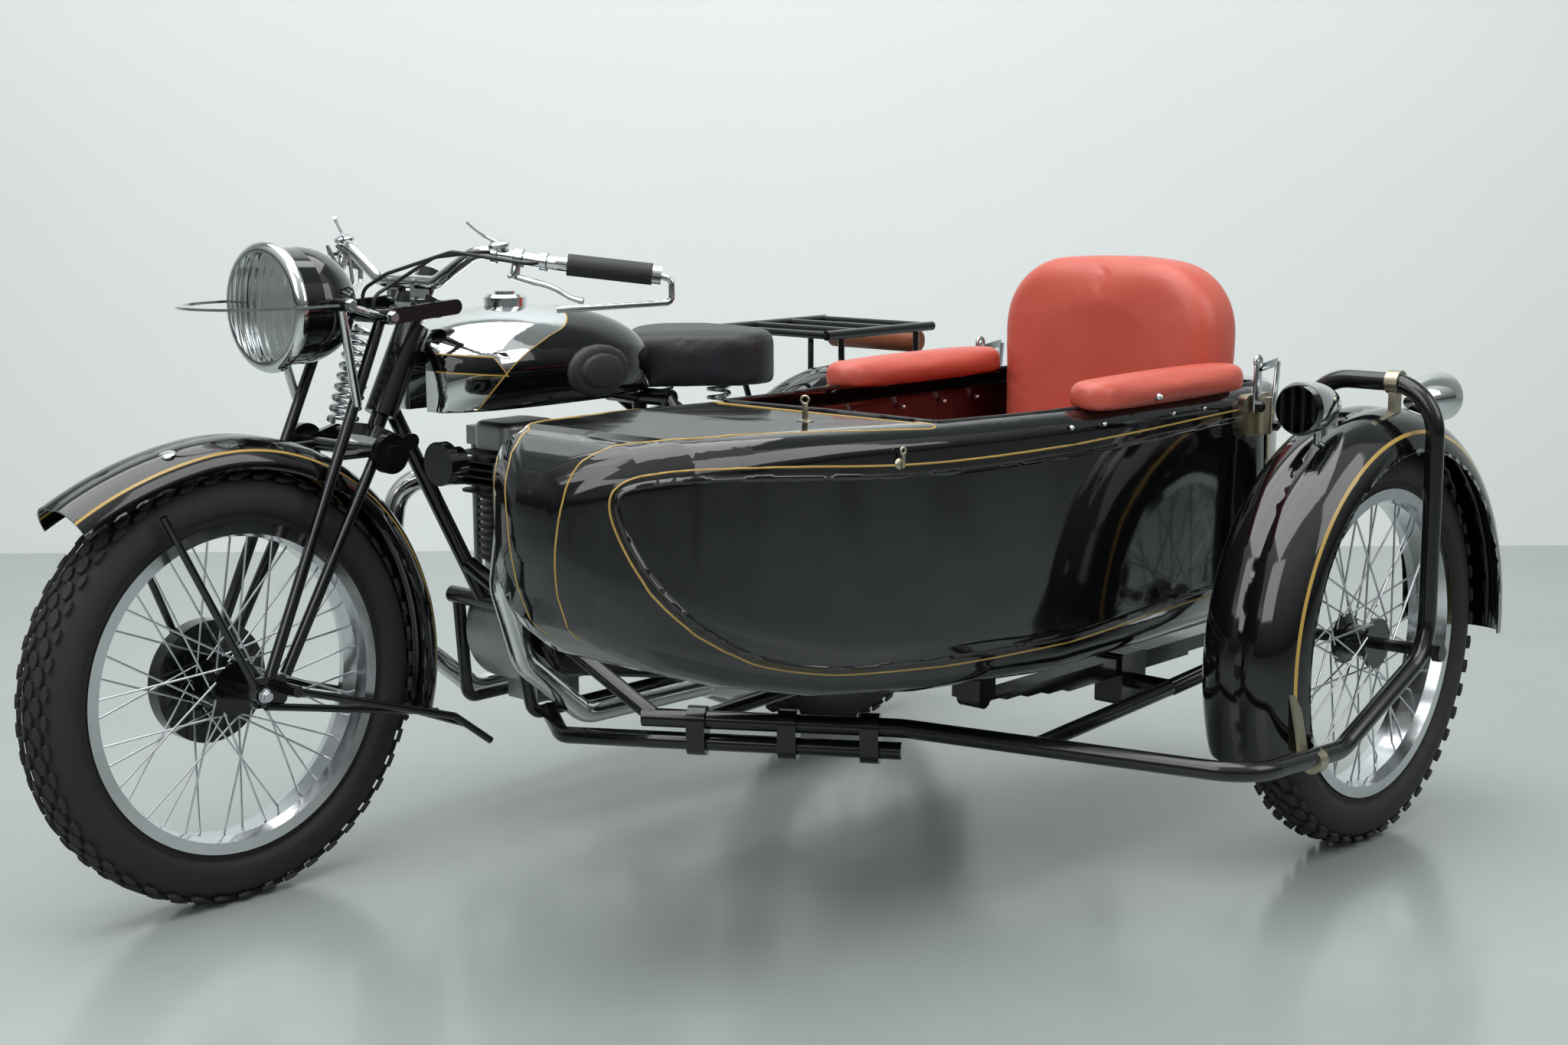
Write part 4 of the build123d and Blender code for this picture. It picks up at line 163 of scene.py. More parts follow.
# Dark red varnished board lining
board = finish("maroon_board", "#260a0b", "#3a1112", (0.22, 0.36), 70, 2.0, 0.1,
               Coat_Weight=0.3, Coat_Roughness=0.15)
# Oiled roller chain
chain = finish("chain_steel", "#3f3b36", "#6a645b", (0.35, 0.5), 10, 4.0, 0.6, Metallic=1.0)
gold_line = finish("gold_line", "#a8873f", "#c4a35a", (0.3, 0.42), 30, 1.0, 0.05)
clear_glass = finish("lamp_glass", "#f4f8f8", "#ffffff", (0.02, 0.05), 80, 30, 0.04,
                     Transmission_Weight=1.0, IOR=1.5)
red_glass = finish("red_glass", "#a01210", "#b81a15", (0.05, 0.1), 20, 4, 0.2,
                   Transmission_Weight=0.85, IOR=1.5)
piping = finish("black_piping", "#0d0d0f", "#18191c", (0.3, 0.42), 20, 1.5, 0.2)
# Silvered reflector bowl, bright and a little cloudy
silvering = finish("silvered_bowl", "#eef1f1", "#fbfcfc", (0.22, 0.34), 30, 20, 0.05, Metallic=1.0)
# Woven casing of the control cables, lacquered black
cable = finish("cable_casing", "#0c0c0d", "#1a1a1b", (0.3, 0.45), 8, 1.2, 0.5)


def guard_finish(name, middle_y, line_from, line_to):
    """Return enamel with a gold line along both edges of a mudguard whose middle is at that place."""
    made = finish(name, **ENAMEL)
    tree, _, _, where = parts_of(made)
    split = add(tree, "ShaderNodeSeparateXYZ", links={"Vector": where.outputs["Object"]})
    off = add(tree, "ShaderNodeMath", {"operation": "SUBTRACT"}, {1: place(0, middle_y, 0).y},
              {0: split.outputs["Y"]})
    far = add(tree, "ShaderNodeMath", {"operation": "ABSOLUTE"}, links={0: off.outputs[0]})
    inside = add(tree, "ShaderNodeMath", {"operation": "COMPARE"},
                 {1: (line_from + line_to) / 2000, 2: (line_to - line_from) / 2000}, {0: far.outputs[0]})
    paint_over(made, inside.outputs[0], GOLD, 0.35)
    return made


guard_paint = guard_finish("guard_enamel", 0, 50.5, 53)
car_guard_paint = guard_finish("car_guard_enamel", -1146, 80, 83)

# Tank: chrome in front and on top, black behind the gold line and in the bare name panel
TANK_PLAIN = {"dark": "#cfd2d4", "light": "#e2e4e5", "rough": (0.04, 0.09), "cloud_mm": 60, "grain_mm": 140,
              "grain": 0.04, "Metallic": 1.0}
# The gold line's run: share of the way up, share of the way back
TANK_LINE_SHARES = [(0.0, 0.0), (0.33, 0.12), (0.56, 0.31), (0.71, 0.57), (0.84, 0.86), (1.0, 1.0)]
TANK_LINE_LOW, TANK_LINE_HIGH = 717, 882
TANK_LINE_FRONT, TANK_LINE_RUN, TANK_LINE_HALF = 430, 230, 1.8
# The bare panel: its middle's height at one place along, its fall, half height, slanted end and border
PANEL_X, PANEL_Z, PANEL_FALL, PANEL_HALF = 440, 797.5, 0.1, 14.5
PANEL_END_X, PANEL_END_SLANT, PANEL_LINE_HALF = 460, 0.75, 1.2
# No gold in the tunnel under the tank: within this of the middle and below this height
TUNNEL_HALF, TUNNEL_TOP = 50, 820


def tank_finish():
    """Return chromium with the black rear, the bare panel and the gold lines laid over it."""
    made = finish("tank_chrome", **TANK_PLAIN)
    tree, _, _, where = parts_of(made)
    split = add(tree, "ShaderNodeSeparateXYZ", links={"Vector": where.outputs["Object"]})
    across, upward = split.outputs["X"], split.outputs["Z"]

    rise = add(tree, "ShaderNodeMapRange",
               values={"From Min": TANK_LINE_LOW / 1000, "From Max": TANK_LINE_HIGH / 1000},
               links={"Value": upward})
    bow = add(tree, "ShaderNodeFloatCurve", links={"Value": rise.outputs["Result"]})
    for share_up, share_back in TANK_LINE_SHARES[1:-1]:
        bow.mapping.curves[0].points.new(share_up, share_back)
    bow.mapping.update()
    edge = add(tree, "ShaderNodeMath", {"operation": "MULTIPLY_ADD"},
               {1: TANK_LINE_RUN / 1000, 2: place(TANK_LINE_FRONT, 0, 0).x}, {0: bow.outputs["Value"]})
    behind = add(tree, "ShaderNodeMath", {"operation": "SUBTRACT"}, links={0: across, 1: edge.outputs[0]})
    black_part = add(tree, "ShaderNodeMath", {"operation": "GREATER_THAN"}, {1: 0.0}, {0: behind.outputs[0]})

    panel_z = add(tree, "ShaderNodeMath", {"operation": "MULTIPLY_ADD"},
                  {1: -PANEL_FALL, 2: PANEL_Z / 1000 + PANEL_FALL * place(PANEL_X, 0, 0).x}, {0: across})
    rise_off = add(tree, "ShaderNodeMath", {"operation": "SUBTRACT"},
                   links={0: upward, 1: panel_z.outputs[0]})
    rise_far = add(tree, "ShaderNodeMath", {"operation": "ABSOLUTE"}, links={0: rise_off.outputs[0]})
    above = add(tree, "ShaderNodeMath", {"operation": "SUBTRACT"}, {1: PANEL_HALF / 1000},
                {0: rise_far.outputs[0]})
    slant = add(tree, "ShaderNodeMath", {"operation": "MULTIPLY_ADD"}, {1: PANEL_END_SLANT},
                {0: rise_off.outputs[0], 2: across})
    beyond = add(tree, "ShaderNodeMath", {"operation": "SUBTRACT"}, {1: place(PANEL_END_X, 0, 0).x},
                 {0: slant.outputs[0]})
    panel = add(tree, "ShaderNodeMath", {"operation": "MAXIMUM"},
                links={0: above.outputs[0], 1: beyond.outputs[0]})
    panel_in = add(tree, "ShaderNodeMath", {"operation": "LESS_THAN"}, {1: 0.0}, {0: panel.outputs[0]})
    black_all = add(tree, "ShaderNodeMath", {"operation": "MAXIMUM"},
                    links={0: black_part.outputs[0], 1: panel_in.outputs[0]})

    line_back = add(tree, "ShaderNodeMath", {"operation": "COMPARE"}, {1: 0.0, 2: TANK_LINE_HALF / 1000},
                    {0: behind.outputs[0]})
    line_panel = add(tree, "ShaderNodeMath", {"operation": "COMPARE"}, {1: 0.0, 2: PANEL_LINE_HALF / 1000},
                     {0: panel.outputs[0]})
    lines = add(tree, "ShaderNodeMath", {"operation": "MAXIMUM"},
                links={0: line_back.outputs[0], 1: line_panel.outputs[0]})
    off_middle = add(tree, "ShaderNodeMath", {"operation": "SUBTRACT"}, {1: place(0, 0, 0).y},
                     {0: split.outputs["Y"]})
    off_far = add(tree, "ShaderNodeMath", {"operation": "ABSOLUTE"}, links={0: off_middle.outputs[0]})
    outer_side = add(tree, "ShaderNodeMath", {"operation": "GREATER_THAN"}, {1: TUNNEL_HALF / 1000},
                     {0: off_far.outputs[0]})
    high_up = add(tree, "ShaderNodeMath", {"operation": "GREATER_THAN"}, {1: TUNNEL_TOP / 1000}, {0: upward})
    outside = add(tree, "ShaderNodeMath", {"operation": "MAXIMUM"},
                  links={0: outer_side.outputs[0], 1: high_up.outputs[0]})
    gold_all = add(tree, "ShaderNodeMath", {"operation": "MULTIPLY"},
                   links={0: lines.outputs[0], 1: outside.outputs[0]})
    paint_over(made, black_all.outputs[0], INK, 0.06, 0.0)
    paint_over(made, gold_all.outputs[0], GOLD, 0.35, 0.0)
    return made


tank_paint = tank_finish()

# Lens: pressed upright flutes about 9 mm wide
tree, surface, _, where = parts_of(clear_glass)
flutes = add(tree, "ShaderNodeTexWave", props={"bands_direction": "Y", "wave_profile": "SIN"},
             values={"Scale": 17.0, "Distortion": 0.0}, links={"Vector": where.outputs["Object"]})
pressed = add(tree, "ShaderNodeBump", values={"Strength": 0.5, "Distance": 0.002},
              links={"Height": flutes.outputs["Fac"]})
tree.links.new(pressed.outputs["Normal"], surface.inputs["Normal"])

FINISHES = {
    "armrests": red_hide, "backrest": red_hide, "barrel": iron, "carburettor": alloy,
    "carrier": tube_enamel, "control_cables": cable, "coupling_arms": tube_enamel,
    "cradle_rails": tube_enamel, "crankcase": alloy, "cylinder_head": iron, "drive_chain": chain,
    "exhaust": chrome, "filler_cap": chrome, "fork_links": tube_enamel, "fork_spring": spoke_chrome,
    "front_hub": tube_enamel, "front_lens": clear_glass, "front_mudguard": guard_paint,
    "front_rim": spoke_chrome, "front_stand": tube_enamel, "front_stays": tube_enamel,
    "front_tyre": rubber, "fuel_tank": tank_paint, "gearbox": alloy, "girder_fork": tube_enamel,
    "grips": grip_rubber, "handlebar": chrome, "headlamp_lens": clear_glass, "headlamp_rim": chrome,
    "headlamp_shell": enamel, "horn": enamel, "inner_panels": board, "knee_pads": grip_rubber,
    "leaf_springs": tube_enamel, "magdyno": alloy, "motorcycle_frame": tube_enamel, "oil_tank": enamel,
    "primary_case": enamel, "rear_hub": tube_enamel, "rear_mudguard": guard_paint,
    "rear_rim": spoke_chrome, "rear_stand": tube_enamel, "rear_stays": tube_enamel,
    "rear_tyre": rubber, "rocker_box": alloy, "saddle": black_hide, "saddle_springs": spoke_chrome,
    "seat_cushion": red_hide, "side_lamps": chrome, "sidecar_body": enamel, "sidecar_brackets": zinc,
    "sidecar_chassis": tube_enamel, "sidecar_deck": enamel, "sidecar_hub": tube_enamel,
    "sidecar_mudguard": car_guard_paint, "sidecar_rim": spoke_chrome, "sidecar_tyre": rubber,
    "spring_clamps": tube_enamel, "tail_lenses": red_glass, "tool_roll": brown_hide,
}
for name, node in NODES.items():
    for slot in node.material_slots:
        slot.material = FINISHES[name]

# Modelling helpers


def begin(name):
    """Name the piece that was just added, and return it."""
    piece = bpy.context.active_object
    piece.name = piece.data.name = name
    return piece


def alone(*pieces):
    """Select only these pieces, the first one active."""
    bpy.ops.object.select_all(action="DESELECT")
    for piece in pieces:
        piece.select_set(True)
    bpy.context.view_layer.objects.active = pieces[0]


def edit(piece, everything=True):
    """Open a piece for editing with all or nothing of it selected."""
    alone(piece)
    bpy.ops.object.mode_set(mode="EDIT")
    bpy.ops.mesh.select_all(action="SELECT" if everything else "DESELECT")


def leave():
    """Close the piece that is open."""
    bpy.ops.object.mode_set(mode="OBJECT")


def settle(piece):
    """Take a piece's place and turn into its mesh and point its faces outward."""
    alone(piece)
    bpy.ops.object.transform_apply(location=True, rotation=True, scale=True)
    edit(piece)
    bpy.ops.mesh.remove_doubles(threshold=0.00001)
    bpy.ops.mesh.normals_make_consistent(inside=False)
    leave()


def shape(piece, kind, **settings):
    """Give a piece a modifier and apply it."""
    alone(piece)
    made = piece.modifiers.new(kind.title(), kind)
    for name, value in settings.items():
        setattr(made, name, value)
    bpy.ops.object.modifier_apply(modifier=made.name)


def smooth(piece, angle=35):
    """Smooth a piece's faces up to an angle."""
    alone(piece)
    bpy.ops.object.shade_smooth_by_angle(angle=radians(angle))


def dress(piece, material, body):
    """Give a finished piece its finish and the body that it rides on."""
    piece.data.materials.clear()
    piece.data.materials.append(material)
    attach(piece, body)
    return piece


def joined(pieces, name):
    """Join pieces to one."""
    alone(*pieces)
    if len(pieces) > 1:
        bpy.ops.object.join()
    return begin(name)


def facing(axis):
    """Return the turn that takes +Z to an axis."""
    return Vector(axis).to_track_quat("Z", "Y").to_euler()


# Tyres: a carcass with raised blocks, laid out once and copied to the three wheels
TYRE_R, BEAD_R, TYRE_HALF = 334, 241, 47
GROOVE = 5.5
CASING_HALF = TYRE_HALF - 0.5
# From the middle of the casing's ring: where the crown flattens, where the bead starts and ends
CROWN_RISE, BEAD_RISE, BEAD_END, BEAD_HALF = 20, -18, -45, 32.5
CROWN_SPREAD = 0.1
BLOCK_ROWS = 48
BLOCK_HALF, BLOCK_EDGE, TREAD_CLEAR = 3.5, 0.9, 0.4
CROWN_TILT = 1.1


def tyre_carcass(name, x, y):
    """Return a tyre's casing with a flattened crown and narrow beads."""
    middle_r = (TYRE_R + BEAD_R) / 2
    bpy.ops.mesh.primitive_torus_add(
        location=place(x, y, AXLE_Z), rotation=(pi / 2, 0, 0), major_segments=120, minor_segments=40,
        major_radius=middle_r / 1000, minor_radius=CASING_HALF / 1000)
    piece = begin(name)
    crown_top = TYRE_R - GROOVE - middle_r
    for vertex in piece.data.vertices:
        flat = hypot(vertex.co.x, vertex.co.y)
        rise, side = flat * 1000 - middle_r, vertex.co.z * 1000
        if rise > CROWN_RISE:
            flattened = (crown_top - CROWN_RISE) / (CASING_HALF - CROWN_RISE)
            rise = CROWN_RISE + (rise - CROWN_RISE) * flattened
            side *= 1 + CROWN_SPREAD * (rise - CROWN_RISE) / CROWN_RISE
        if rise < BEAD_RISE:
            side = max(-BEAD_HALF, min(BEAD_HALF, side))
            rise = max(rise, BEAD_END)
        radius = (middle_r + rise) / 1000
        vertex.co = Vector((vertex.co.x / flat * radius, vertex.co.y / flat * radius, side / 1000))
    settle(piece)
    smooth(piece, 50)
    return piece


# Blocks of one pitch: place across, place along as a share, half width, half length, top and turn
BLOCKS = [(-7.5, 0.25, 7.5, 15, 0, 12), (7.5, 0.75, 7.5, 15, 0, -12), (-24, 0.72, 7.5, 16, -1.2, 8),
          (24, 0.22, 7.5, 16, -1.2, -8), (-37, 0.2, 4.5, 13, -6, 0), (37, 0.7, 4.5, 13, -6, 0)]


def tread(name, x, y):
    """Return a tyre's tread: six-sided blocks in staggered rows, spun round the wheel."""
    made = []
    for across, along, half, length, drop, turn in BLOCKS:
        angle = 2 * pi / BLOCK_ROWS * along
        radius = TYRE_R - TREAD_CLEAR + drop - BLOCK_HALF
        centre = Vector((sin(angle) * radius, across, cos(angle) * radius))
        bpy.ops.mesh.primitive_cylinder_add(
            vertices=6, radius=1, depth=2, location=place(x, y, AXLE_Z) + centre / 1000,
            rotation=(0, angle, 0))
        block = bpy.context.active_object
        tilt = radians(across * CROWN_TILT)
        block.rotation_euler = (Matrix.Rotation(angle, 3, "Y") @ Matrix.Rotation(-tilt, 3, "X")
                                @ Matrix.Rotation(radians(turn), 3, "Z")).to_euler()
        block.scale = (length / 1000, half / 1000, BLOCK_HALF / 1000)
        made.append(block)
    piece = joined(made, name)
    alone(piece)
    bpy.ops.object.transform_apply(location=True, rotation=True, scale=True)
    shape(piece, "BEVEL", width=BLOCK_EDGE / 1000, segments=1, limit_method="ANGLE")
    edit(piece)
    bpy.ops.mesh.spin(steps=BLOCK_ROWS, angle=2 * pi, dupli=True, center=place(x, y, AXLE_Z),
                      axis=(0, 1, 0))
    bpy.ops.mesh.select_all(action="SELECT")
    bpy.ops.mesh.remove_doubles(threshold=0.00001)
    bpy.ops.mesh.normals_make_consistent(inside=False)
    leave()
    return piece


for name, (x, y) in WHEELS.items():
    layers = [tyre_carcass(f"{name}_casing", x, y), tread(f"{name}_tread", x, y)]
    tyre = joined(layers, f"{name}_tyre_blocks")
    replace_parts(dress(tyre, rubber, f"{name}_wheel"), f"{name}_tyre")


# Springs: a wire ring screwed up along its axis
def coil(name, low, high, radius, wire, turns):
    """Return a helical spring between two places."""
    bottom, top = place(*low), place(*high)
    length = (top - bottom).length
    bpy.ops.mesh.primitive_circle_add(vertices=10, radius=wire / 1000, rotation=(pi / 2, 0, 0),
                                      location=(radius / 1000, 0, wire / 1000))
    piece = begin(name)
    alone(piece)
    bpy.ops.object.transform_apply(location=True, rotation=True)
    shape(piece, "SCREW", axis="Z", screw_offset=(length - 2 * wire / 1000) / turns, iterations=turns,
          steps=28, render_steps=28, angle=2 * pi)
    piece.location = bottom
    piece.rotation_euler = facing(top - bottom)
    edit(piece, False)
    bpy.ops.mesh.select_non_manifold()
    bpy.ops.mesh.edge_face_add()
    leave()
    settle(piece)
    smooth(piece, 60)
    return piece


def turned(name, profile, start, end, segments=32):
    """Return a turned piece between two places, from rings given by share of the way and radius."""
    first, last = place(*start), place(*end)
    length = (last - first).length
    bpy.ops.mesh.primitive_circle_add(vertices=segments, radius=profile[0][1] / 1000, fill_type="NGON",
                                      location=(0, 0, profile[0][0] * length))
    piece = begin(name)
    edit(piece)
    at, radius = profile[0]
    for share, next_radius in profile[1:]:
        grow = next_radius / radius
        bpy.ops.mesh.extrude_region_move(TRANSFORM_OT_translate={"value": (0, 0, (share - at) * length)})
        bpy.ops.transform.resize(value=(grow, grow, 1), center_override=(0, 0, share * length))
        at, radius = share, next_radius
    leave()
    piece.location = first
    piece.rotation_euler = facing(last - first)
    settle(piece)
    smooth(piece, 40)
    return piece


GIRDER_SPRING = {"low": (232, 0, 712), "high": (284, 0, 868), "radius": 21, "wire": 4.6, "turns": 9}
girder_coil = dress(coil("girder_spring_coil", **GIRDER_SPRING), spoke_chrome, "steering")
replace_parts(girder_coil, "fork_spring")

SADDLE_SPRING_X, SADDLE_SPRING_OFF = 1010, 73.8
POST_RINGS = [(0, 11), (0.9, 11), (0.92, 16), (1, 16)]
saddle_metal = [turned("saddle_post", POST_RINGS, (884, 0, 722), (884, 0, 753))]
for side in (-1, 1):
    x, y = SADDLE_SPRING_X, side * SADDLE_SPRING_OFF
    saddle_metal += [
        coil("saddle_coil", (x, y, 632), (x, y, 748), 19, 4, 7),
        turned("saddle_seat", [(0, 12), (0.3, 22), (0.9, 22), (1, 20)], (x, y, 622), (x, y, 634)),
        turned("saddle_top", [(0, 22), (0.8, 22), (1, 18)], (x, y, 746), (x, y, 753))]
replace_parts(dress(joined(saddle_metal, "saddle_coils"), spoke_chrome, "chassis"), "saddle_springs")


def copy_of(node, name):
    """Return a copy of a CAD node's solid as a piece of its own."""
    piece = NODES[node].copy()
    piece.data = NODES[node].data.copy()
    bpy.context.scene.collection.objects.link(piece)
    piece.parent = None
    piece.matrix_world = Matrix.Identity(4)
    piece.hide_set(False)
    piece.hide_render = False
    piece.name = piece.data.name = name
    return piece


def smooth_copy(name, node, material, body, angle=40):
    """Put a copy with one smooth skin in place of a CAD solid whose faces are shaded one by one."""
    piece = copy_of(node, name)
    edit(piece)
    bpy.ops.mesh.remove_doubles(threshold=0.00002)
    leave()
    smooth(piece, angle)
    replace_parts(dress(piece, material, body), node)


smooth_copy("body_shell", "sidecar_body", enamel, "chassis")
smooth_copy("deck_shell", "sidecar_deck", enamel, "chassis")
smooth_copy("tank_shell", "fuel_tank", tank_paint, "chassis")
smooth_copy("front_guard", "front_mudguard", guard_paint, "steering")
smooth_copy("rear_guard", "rear_mudguard", guard_paint, "chassis")
smooth_copy("car_guard", "sidecar_mudguard", car_guard_paint, "chassis")


# Padded pieces: their stuffing presses the cover out over this many frames
CLOTH_FRAMES = 20


def cushion(name, node, material, swell, grow, fill, voxel, most, rounds):
    """Return a stuffed copy of a CAD solid: grown, remeshed, rounded and blown up a little, up to a most."""
    piece = copy_of(node, name)
    edit(piece)
    bpy.ops.mesh.remove_doubles(threshold=0.0001)
    leave()
    shape(piece, "DISPLACE", strength=grow / 1000, mid_level=0.0)
    shape(piece, "REMESH", mode="VOXEL", voxel_size=voxel / 1000)
    shape(piece, "SMOOTH", iterations=rounds, factor=0.5)
    blow_up(piece, swell, most)
    shape(piece, "SMOOTH", iterations=4, factor=0.5)
    shape(piece, "SUBSURF", levels=1, render_levels=1)
    alone(piece)
    bpy.ops.object.shade_smooth()
    dress(piece, material, "chassis")
    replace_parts(piece, node)


def blow_up(piece, swell, most):
    """Press a cover out as cloth, and keep each point within a distance of where it was."""
    rest = [v.co.copy() for v in piece.data.vertices]
    cloth = piece.modifiers.new("Cloth", "CLOTH")
    cloth.settings.use_pressure = True
    cloth.settings.uniform_pressure_force = swell
    cloth.settings.effector_weights.gravity = 0
    cloth.settings.quality = 4
    scene = bpy.context.scene
    for number in range(1, CLOTH_FRAMES + 1):
        scene.frame_set(number)
    alone(piece)
    bpy.ops.object.modifier_apply(modifier=cloth.name)
    scene.frame_set(1)
    for vertex, at_rest in zip(piece.data.vertices, rest):
        step = vertex.co - at_rest
        if step.length > most / 1000:
            vertex.co = at_rest + step * (most / 1000 / step.length)


# Piece, solid, hide, pressure, growth, fill, voxel, most it swells, rounding passes
CUSHIONS = [
    ("saddle_hide", "saddle", black_hide, 1, 1, 0.8, 4, 4, 34),
    ("seat_cushion_hide", "seat_cushion", red_hide, 2, -4, 0.7, 8, 10, 14),
    ("backrest_hide", "backrest", red_hide, 0.6, 12, 0.7, 6, 6, 70),
    ("armrest_hides", "armrests", red_hide, 1, 2, 0.8, 4, 4, 30),
    ("tool_roll_hide", "tool_roll", brown_hide, 3, -2, 0.6, 4, 5, 6),
]
for row in CUSHIONS:
    cushion(*row)


# Sidecar trim: gold lines, the pressed bead and the mouth's piping, bent over a copy of the body's skin
MIRROR_Y = -692
# Bars are laid from just outside the skin, off a middle line of the body between two places along
LINE_OFF = 12
CORE_FRONT_X, CORE_REAR_X, CORE_Z = 260, 1400, 570
skin = joined([copy_of("sidecar_body", "body_skin"), copy_of("sidecar_deck", "deck_skin")], "skin")


def laid(name, points, radius, material, closed=False, sunk=None):
    """Return a bar bent through places, and let into the body's skin by a depth if one is given."""
    curve = bpy.data.curves.new(name, "CURVE")
    curve.dimensions = "3D"
    spline = curve.splines.new("NURBS")
    spline.points.add(len(points) - 1)
    for knot, point in zip(spline.points, points):
        core = Vector((max(CORE_FRONT_X, min(CORE_REAR_X, point[0])), MIRROR_Y, CORE_Z))
        off = (Vector(point) - core).normalized() * (0 if sunk is None else LINE_OFF)
        knot.co = (*place(*(Vector(point) + off)), 1)
    spline.order_u = 3
    spline.use_cyclic_u = closed
    spline.use_endpoint_u = not closed
    curve.resolution_u = 14
    piece = bpy.data.objects.new(name, curve)
    bpy.context.scene.collection.objects.link(piece)
    alone(piece)
    bpy.ops.object.convert(target="MESH")
    piece = bpy.context.active_object
    if sunk is not None:
        shape(piece, "SHRINKWRAP", target=skin, wrap_method="NEAREST_SURFACEPOINT",
              wrap_mode="ABOVE_SURFACE", offset=-sunk / 1000)
        shape(piece, "SMOOTH", iterations=3, factor=0.5)
    alone(piece)
    bpy.ops.object.convert(target="CURVE")
    piece = bpy.context.active_object
    piece.data.bevel_depth = radius / 1000
    piece.data.bevel_resolution = 1
    piece.data.use_fill_caps = not closed
    bpy.ops.object.convert(target="MESH")
    piece = begin(name)
    settle(piece)
    smooth(piece, 60)
    return dress(piece, material, "chassis")


def drawn_in(points, gap):
    """Return a closed side line's places moved toward its middle."""
    moved = []
    for before, (x, y, z), after in zip(points[-1:] + points, points, points[1:] + points[:1]):
        run = Vector((after[0] - before[0], after[2] - before[2])).normalized()
        moved.append((x + run.y * gap, y, z - run.x * gap))
    return moved


def mirrored(points, side):
    """Return places on one side of the sidecar's middle from places given by their distance off it."""
    return [(x, MIRROR_Y + side * off, z) for x, off, z in points]


# Side panel's line: place along, off the middle, height
SIDE_LINE = [
    (160, 186, 728), (280, 213, 718), (490, 236, 699), (677, 254, 694), (919, 270, 696), (1179, 271, 703),
    (1360, 271, 707), (1425, 262, 703), (1444, 257, 680), (1448, 256, 560), (1440, 257, 450),
    (1400, 264, 424), (1300, 270, 416), (1149, 270, 413), (936, 265, 401), (668, 243, 400),
    (437, 214, 416), (327, 196, 433),
    (244, 187, 457), (166, 176, 501), (111, 159, 549), (78, 137, 603), (62, 119, 654), (57, 114, 685),
    (63, 118, 710), (90, 140, 724)]
# Deck and nose line: down the nose, along the deck's edge and across in front of the cockpit
DECK_LINE = [
    (85, 30, 495), (56, 36, 526), (33, 38, 580), (24, 48, 642), (30, 57, 693), (55, 64, 742), (110, 95, 765),
    (211, 136, 767), (375, 190, 760), (557, 222, 750), (580, 224, 750), (584, 214, 751), (588, 120, 754),
    (590, 0, 755)]
# Cockpit's edge, from its front round to its rear
MOUTH_LINE = [
    (606, 0, 754), (604, 200, 753), (604, 212, 753), (616, 215, 753), (750, 229, 750), (893, 243, 749),
    (1130, 244, 747.5), (1372, 244, 746), (1425, 236, 745), (1440, 228, 745), (1441, 215, 745),
    (1441, 0, 745)]
LINE_R, LINE_SUNK = 1.9, 0.9
PRESSING_R, PRESSING_SUNK, PRESSING_GAP = 6.5, 3.6, 14
PIPING_R = 4
for side, word in ((-1, "left"), (1, "right")):
    line = mirrored(SIDE_LINE, side)
    laid(f"side_coachline_{word}", line, LINE_R, gold_line, True, LINE_SUNK)
    laid(f"side_bead_{word}", drawn_in(line, PRESSING_GAP), PRESSING_R, enamel, True, PRESSING_SUNK)
deck_line = mirrored(DECK_LINE, -1) + mirrored(DECK_LINE, 1)[-2::-1]
laid("deck_coachline", deck_line, LINE_R, gold_line, False, LINE_SUNK)
mouth_line = mirrored(MOUTH_LINE, -1) + mirrored(MOUTH_LINE, 1)[-2:0:-1]
laid("mouth_piping", mouth_line, PIPING_R, piping, True)
bpy.data.objects.remove(skin)

# Bolt heads on both sides of the fork: place along, off the middle, height, radius, head height
HEADS = [(0, 101, 334, 9, 12), (240, 100, 676, 9, 8), (266, 95, 885, 9, 8), (170, 120, 910, 9, 6)]
WASHER_SHARE, WASHER_WALL, NUT_SEAT, HEAD_ROOM = 1.25, 1.6, 1.2, 2


def head(at, way, radius, height):
    """Return one hexagon head on a washer."""
    start = Vector(at)
    tall = height + HEAD_ROOM
    end = start + Vector(way) * tall
    wide = radius * WASHER_SHARE
    washer = turned("washer", [(0, wide), (WASHER_WALL / tall, wide)], start, end, 20)
    nut = turned("nut", [(NUT_SEAT / tall, radius), (0.85, radius), (1, radius * 0.85)], start, end, 6)
    return joined([nut, washer], "head")


bolts = []
for x, off, z, radius, height in HEADS:
    for side in (-1, 1):
        bolts.append(head((x, side * off, z), (0, side, 0), radius, height))
dress(joined(bolts, "steering_bolts"), spoke_chrome, "steering")


# Small fittings
def ring(name, at, way, radius, wire):
    """Return a wire ring round an axis."""
    bpy.ops.mesh.primitive_torus_add(
        location=place(*at), rotation=facing(way), major_segments=32, minor_segments=10,
        major_radius=radius / 1000, minor_radius=wire / 1000)
    piece = begin(name)
    settle(piece)
    smooth(piece, 60)
    return piece


# A stud's dome: share of its height, share of its radius
DOME_SHARES = [(0, 1), (0.35, 1), (0.7, 0.8), (0.92, 0.45), (1, 0.1)]


def stud(name, at, way, radius, height):
    """Return a domed stud standing on a surface."""
    rings = [(share, radius * part) for share, part in DOME_SHARES]
    return turned(name, rings, at, Vector(at) + Vector(way) * height, 20)


def plate(name, at, size, turn=(0, 0, 0), bevel=1.5):
    """Return a flat plate with softened edges."""
    bpy.ops.mesh.primitive_cube_add(size=1, location=place(*at), rotation=[radians(a) for a in turn],
                                    scale=[a / 1000 for a in size])
    piece = begin(name)
    settle(piece)
    shape(piece, "BEVEL", width=bevel / 1000, segments=2, limit_method="ANGLE")
    smooth(piece, 40)
    return piece


